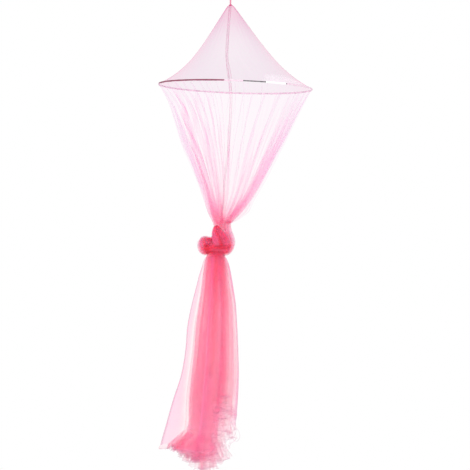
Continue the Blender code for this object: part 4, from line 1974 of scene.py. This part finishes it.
@dataclass
class Cascade:
    """Falls of ruffled hem where the lifted net turns over at the front."""

    steps: int = 240
    rings: int = 8
    width: float = 0.020
    wave: float = 0.042
    amplitude: float = 0.010
    edge_radius: float = 0.4 * MM
    seed: int = 31
    knots: int = 12
    # x, y and z of points down each fall's inner edge, from the top
    falls: tuple[Rows, ...] = (
        ((-0.076, -0.096, -1.590), (-0.083, -0.103, -1.650), (-0.088, -0.106, -1.720),
         (-0.094, -0.106, -1.780), (-0.096, -0.102, -1.822)),
        ((-0.052, -0.092, -1.606), (-0.060, -0.097, -1.670), (-0.056, -0.096, -1.740),
         (-0.064, -0.094, -1.800), (-0.060, -0.090, -1.836)),
        ((-0.026, -0.078, -1.592), (-0.034, -0.082, -1.660), (-0.028, -0.080, -1.730),
         (-0.034, -0.074, -1.790), (-0.028, -0.070, -1.824)),
        ((-0.006, -0.052, -1.610), (-0.012, -0.054, -1.670), (-0.006, -0.050, -1.730),
         (-0.010, -0.046, -1.775)),
        ((-0.170, -0.070, -1.672), (-0.174, -0.074, -1.712), (-0.168, -0.072, -1.752)),
    )
    # x, y and z of points round the loose curl of hem at the right
    curl: Rows = (
        (0.004, -0.030, -1.630), (0.003, -0.034, -1.672), (0.012, -0.038, -1.700),
        (0.030, -0.034, -1.716), (0.037, -0.026, -1.738), (0.028, -0.020, -1.758),
        (0.014, -0.022, -1.756), (0.008, -0.028, -1.738),
    )

    def fall(self, route: Rows, seed: int) -> Array:
        """Points of one fall, the inner edge first, its far edge swinging to and fro.

        Args:
            route: Points down its inner edge.
            seed: Seed of its unevenness.

        Returns:
            The points, rings x steps x 3.
        """
        rng = np.random.default_rng(seed)
        at = np.linspace(0.0, len(route) - 1.0, self.steps)
        line = through(route, self.steps)
        run = travelled(line)
        jitter = rng.uniform(-1.0, 1.0, (self.knots, 3))
        soft = straight(at, np.linspace(0, len(route) - 1.0, self.knots), jitter)
        phase = TURN * run / self.wave + 2.8 * soft[:, 0]
        swing = self.amplitude * (1.0 + 0.7 * soft[:, 1])
        width = self.width * (1.0 + 0.3 * soft[:, 2])
        ends = ease(np.minimum(run, run[-1] - run) / 0.02)
        points = np.empty((self.rings, self.steps, 3))
        for row, share in enumerate(np.linspace(0.0, 1.0, self.rings)):
            lively = swing * share**1.2 * ends
            out = width * share
            points[row] = line + joined(
                out * ends + lively * np.sin(phase),
                -0.5 * out * ends + 1.3 * lively * np.cos(phase),
                0.6 * lively * np.sin(phase + 1.0) - 0.35 * out,
            )
        return points

    def build(self, net: Material, thread: Material) -> list[Object]:
        """Build the falls, their overlocked edges and the loose curl.

        Args:
            net: Finish of the falls.
            thread: Finish of the overlocked edges.

        Returns:
            The pieces.
        """
        pieces, edges = [], []
        down = np.linspace(0.0, self.width, self.rings)[:, None]
        run = np.linspace(0.0, 0.30, self.steps)[None, :]
        lay = Lay.strip(joined(run, down), 0.35, 0.9)
        for index, route in enumerate(self.falls):
            grid = self.fall(route, self.seed + index)
            pieces.append(
                surface_mesh(f"hem_fall_{index + 1}", grid, net, wraps=False, lay=lay)
            )
            edges.append(grid[-1])
        edges.append(through(self.curl, 90))
        pieces.append(
            grow("hem_fall_overlock", thread_tree(), edges, thread,
                 Radius=self.edge_radius, Sides=4)
        )
        for piece in pieces:
            dress(piece, Slot.NET)
        return pieces


def build_net(net_material: Material) -> None:
    """Build the net's pieces from the hoop to the hem.

    Args:
        net_material: Finish of the net.
    """
    net = Net()
    skirt, knot, tail, hem = Skirt(net), Knot(net), Tail(net), Hem(net)
    skirt_points, skirt_lay = skirt.grid()
    reach = skirt.sections[-1][2]
    neck_angles, _ = skirt.columns_at(net.cloth_neck / (TURN * reach) - 1.0)
    middle = knot.grid(neck_angles, tail.azimuths())
    knot_points = middle[0]
    above = skirt.rings - 1 - np.arange(skirt.rings)
    sewn = ease(1.0 - above / skirt.sewn_rings)[:, None, None]
    upper = skirt_points + (knot_points[0] - skirt_points[-1])[None] * sewn, skirt_lay
    *lower, (ruffle_height, ruffle_flare, gathers) = tail.grid(knot_points[-1])
    # name, points, lay, cloth round its top and its foot, length of the cloth
    drapes = (
        ("skirt", *upper, net.cloth_hoop, net.cloth_neck, net.skirt_length),
        ("knot", *middle, net.cloth_neck, net.cloth_tail, net.knot_length),
        ("tail", *lower, net.cloth_tail, net.cloth_hem, net.tail_length),
    )
    seam = skirt.seam(net_material)
    for piece in seam:
        dress(piece, Slot.NET)
    for name, points, lay, above, below, length in drapes:
        piece = surface_mesh(f"{name}_drape", points, net_material, lay=lay)
        dress(piece, Slot.NET, "skirt_net")
    points, run = hem.grid(lower[0][-1], ruffle_height, ruffle_flare)
    height = float(ruffle_height.max())
    down = np.linspace(0.0, height, hem.rings)[:, None]
    step = np.append(np.diff(run), run[1])
    at = np.arange(len(run)) / hem.finer
    close = hem.closeness * np.interp(at, np.arange(len(gathers) + 1), looped(gathers))
    lay = Lay(joined(run, down), joined(run + step, down), hem.crowding_and_shade, close)
    ruffle = surface_mesh("hem_ruffle", points, net_material, lay=lay)
    thread = SolidFinish(
        "overlock_thread", (0.82, 0.46, 0.62), (0.66, 0.32, 0.48), 0.006, 0.7, alpha=0.6
    ).build()
    overlock = grow("hem_overlock", thread_tree(), [points[-1]], thread, closed=True,
                    Radius=hem.edge_radius, Sides=4)
    dress(ruffle, Slot.NET, "skirt_net")
    dress(overlock, Slot.NET)
    falls = Cascade().build(net_material, thread)


# ---------------------------------------------------------------------------
# Studio
# ---------------------------------------------------------------------------


@dataclass
class Studio:
    """Camera, soft light and pale floor."""

    camera_place: tuple[float, float, float] = (0.0176, -7.06, -0.954)
    lens: float = 138.1
    floor_level: float = -2.45
    brightness: float = 1.0

    def build(self) -> None:
        """Set the camera, world, lights and floor."""
        scene = bpy.context.scene
        lens = bpy.data.cameras.new("camera")
        lens.lens, lens.sensor_width = self.lens, 36.0
        camera = link(bpy.data.objects.new("camera", lens))
        camera.location = self.camera_place
        camera.rotation_euler = (math.radians(90.0), 0.0, 0.0)
        scene.camera = camera
        world = bpy.data.worlds.new("studio")
        world.use_nodes = True
        sky = world.node_tree.nodes["Background"]
        sky.inputs[0].default_value = (1.0, 1.0, 1.0, 1.0)
        sky.inputs[1].default_value = self.brightness
        scene.world = world
        scene.view_settings.view_transform = "Standard"
        scene.cycles.transparent_max_bounces = 512
        scene.cycles.max_bounces = 16
        scene.cycles.diffuse_bounces = 10
        scene.cycles.transmission_bounces = 12
        for name, place, power, size in (
            ("key", (-2.2, -3.2, 0.8), 55.0, 1.6),
            ("fill", (2.4, -3.0, -0.6), 30.0, 1.8),
        ):
            light = bpy.data.lights.new(name, "AREA")
            light.energy, light.size = power, size
            lamp = link(bpy.data.objects.new(name, light))
            lamp.location = place
            aim = Vector((0.0, 0.0, -1.0)) - Vector(place)
            lamp.rotation_euler = aim.to_track_quat("-Z", "Y").to_euler()
        self.floor()

    def floor(self) -> None:
        """A pale round floor, well below the hanging net."""
        radius = np.linspace(0.02, 3.2, 24)[:, None]
        turn = around(96)[None, :]
        grid = joined(radius * np.cos(turn), radius * np.sin(turn), self.floor_level)
        paint = SolidFinish(
            "pale_floor", (0.93, 0.93, 0.93), (0.90, 0.90, 0.905), 0.4, 0.8,
            relief=0.2 * MM, relief_size=0.01,
        ).build()
        surface_mesh("floor", grid[::-1], paint)


def main() -> None:
    """Build the canopy's looks and the studio."""
    logging.basicConfig(level=logging.INFO, format="%(message)s")
    Studio().build()
    hanging_net = NetFinish("sheer_net", NET_DYES_AND_CREASE_SHADE, cover=0.050, grazing=0.55).build()
    roof_net = NetFinish(
        "roof_net", ROOF_DYES, cover=0.078, grazing=0.6, weave_depth=0.12
    ).build()
    # near-white net for the painted glare by the hoop's joint
    glare_net = NetFinish("glare_net", GLARE_DYES, cover=0.24, grazing=0.5).build()
    hoop = Hoop()
    hoop.build()
    Roof(hoop).build(roof_net, glare_net)
    HangingLoop().build()
    build_net(hanging_net)


if __name__ == "__main__":
    main()
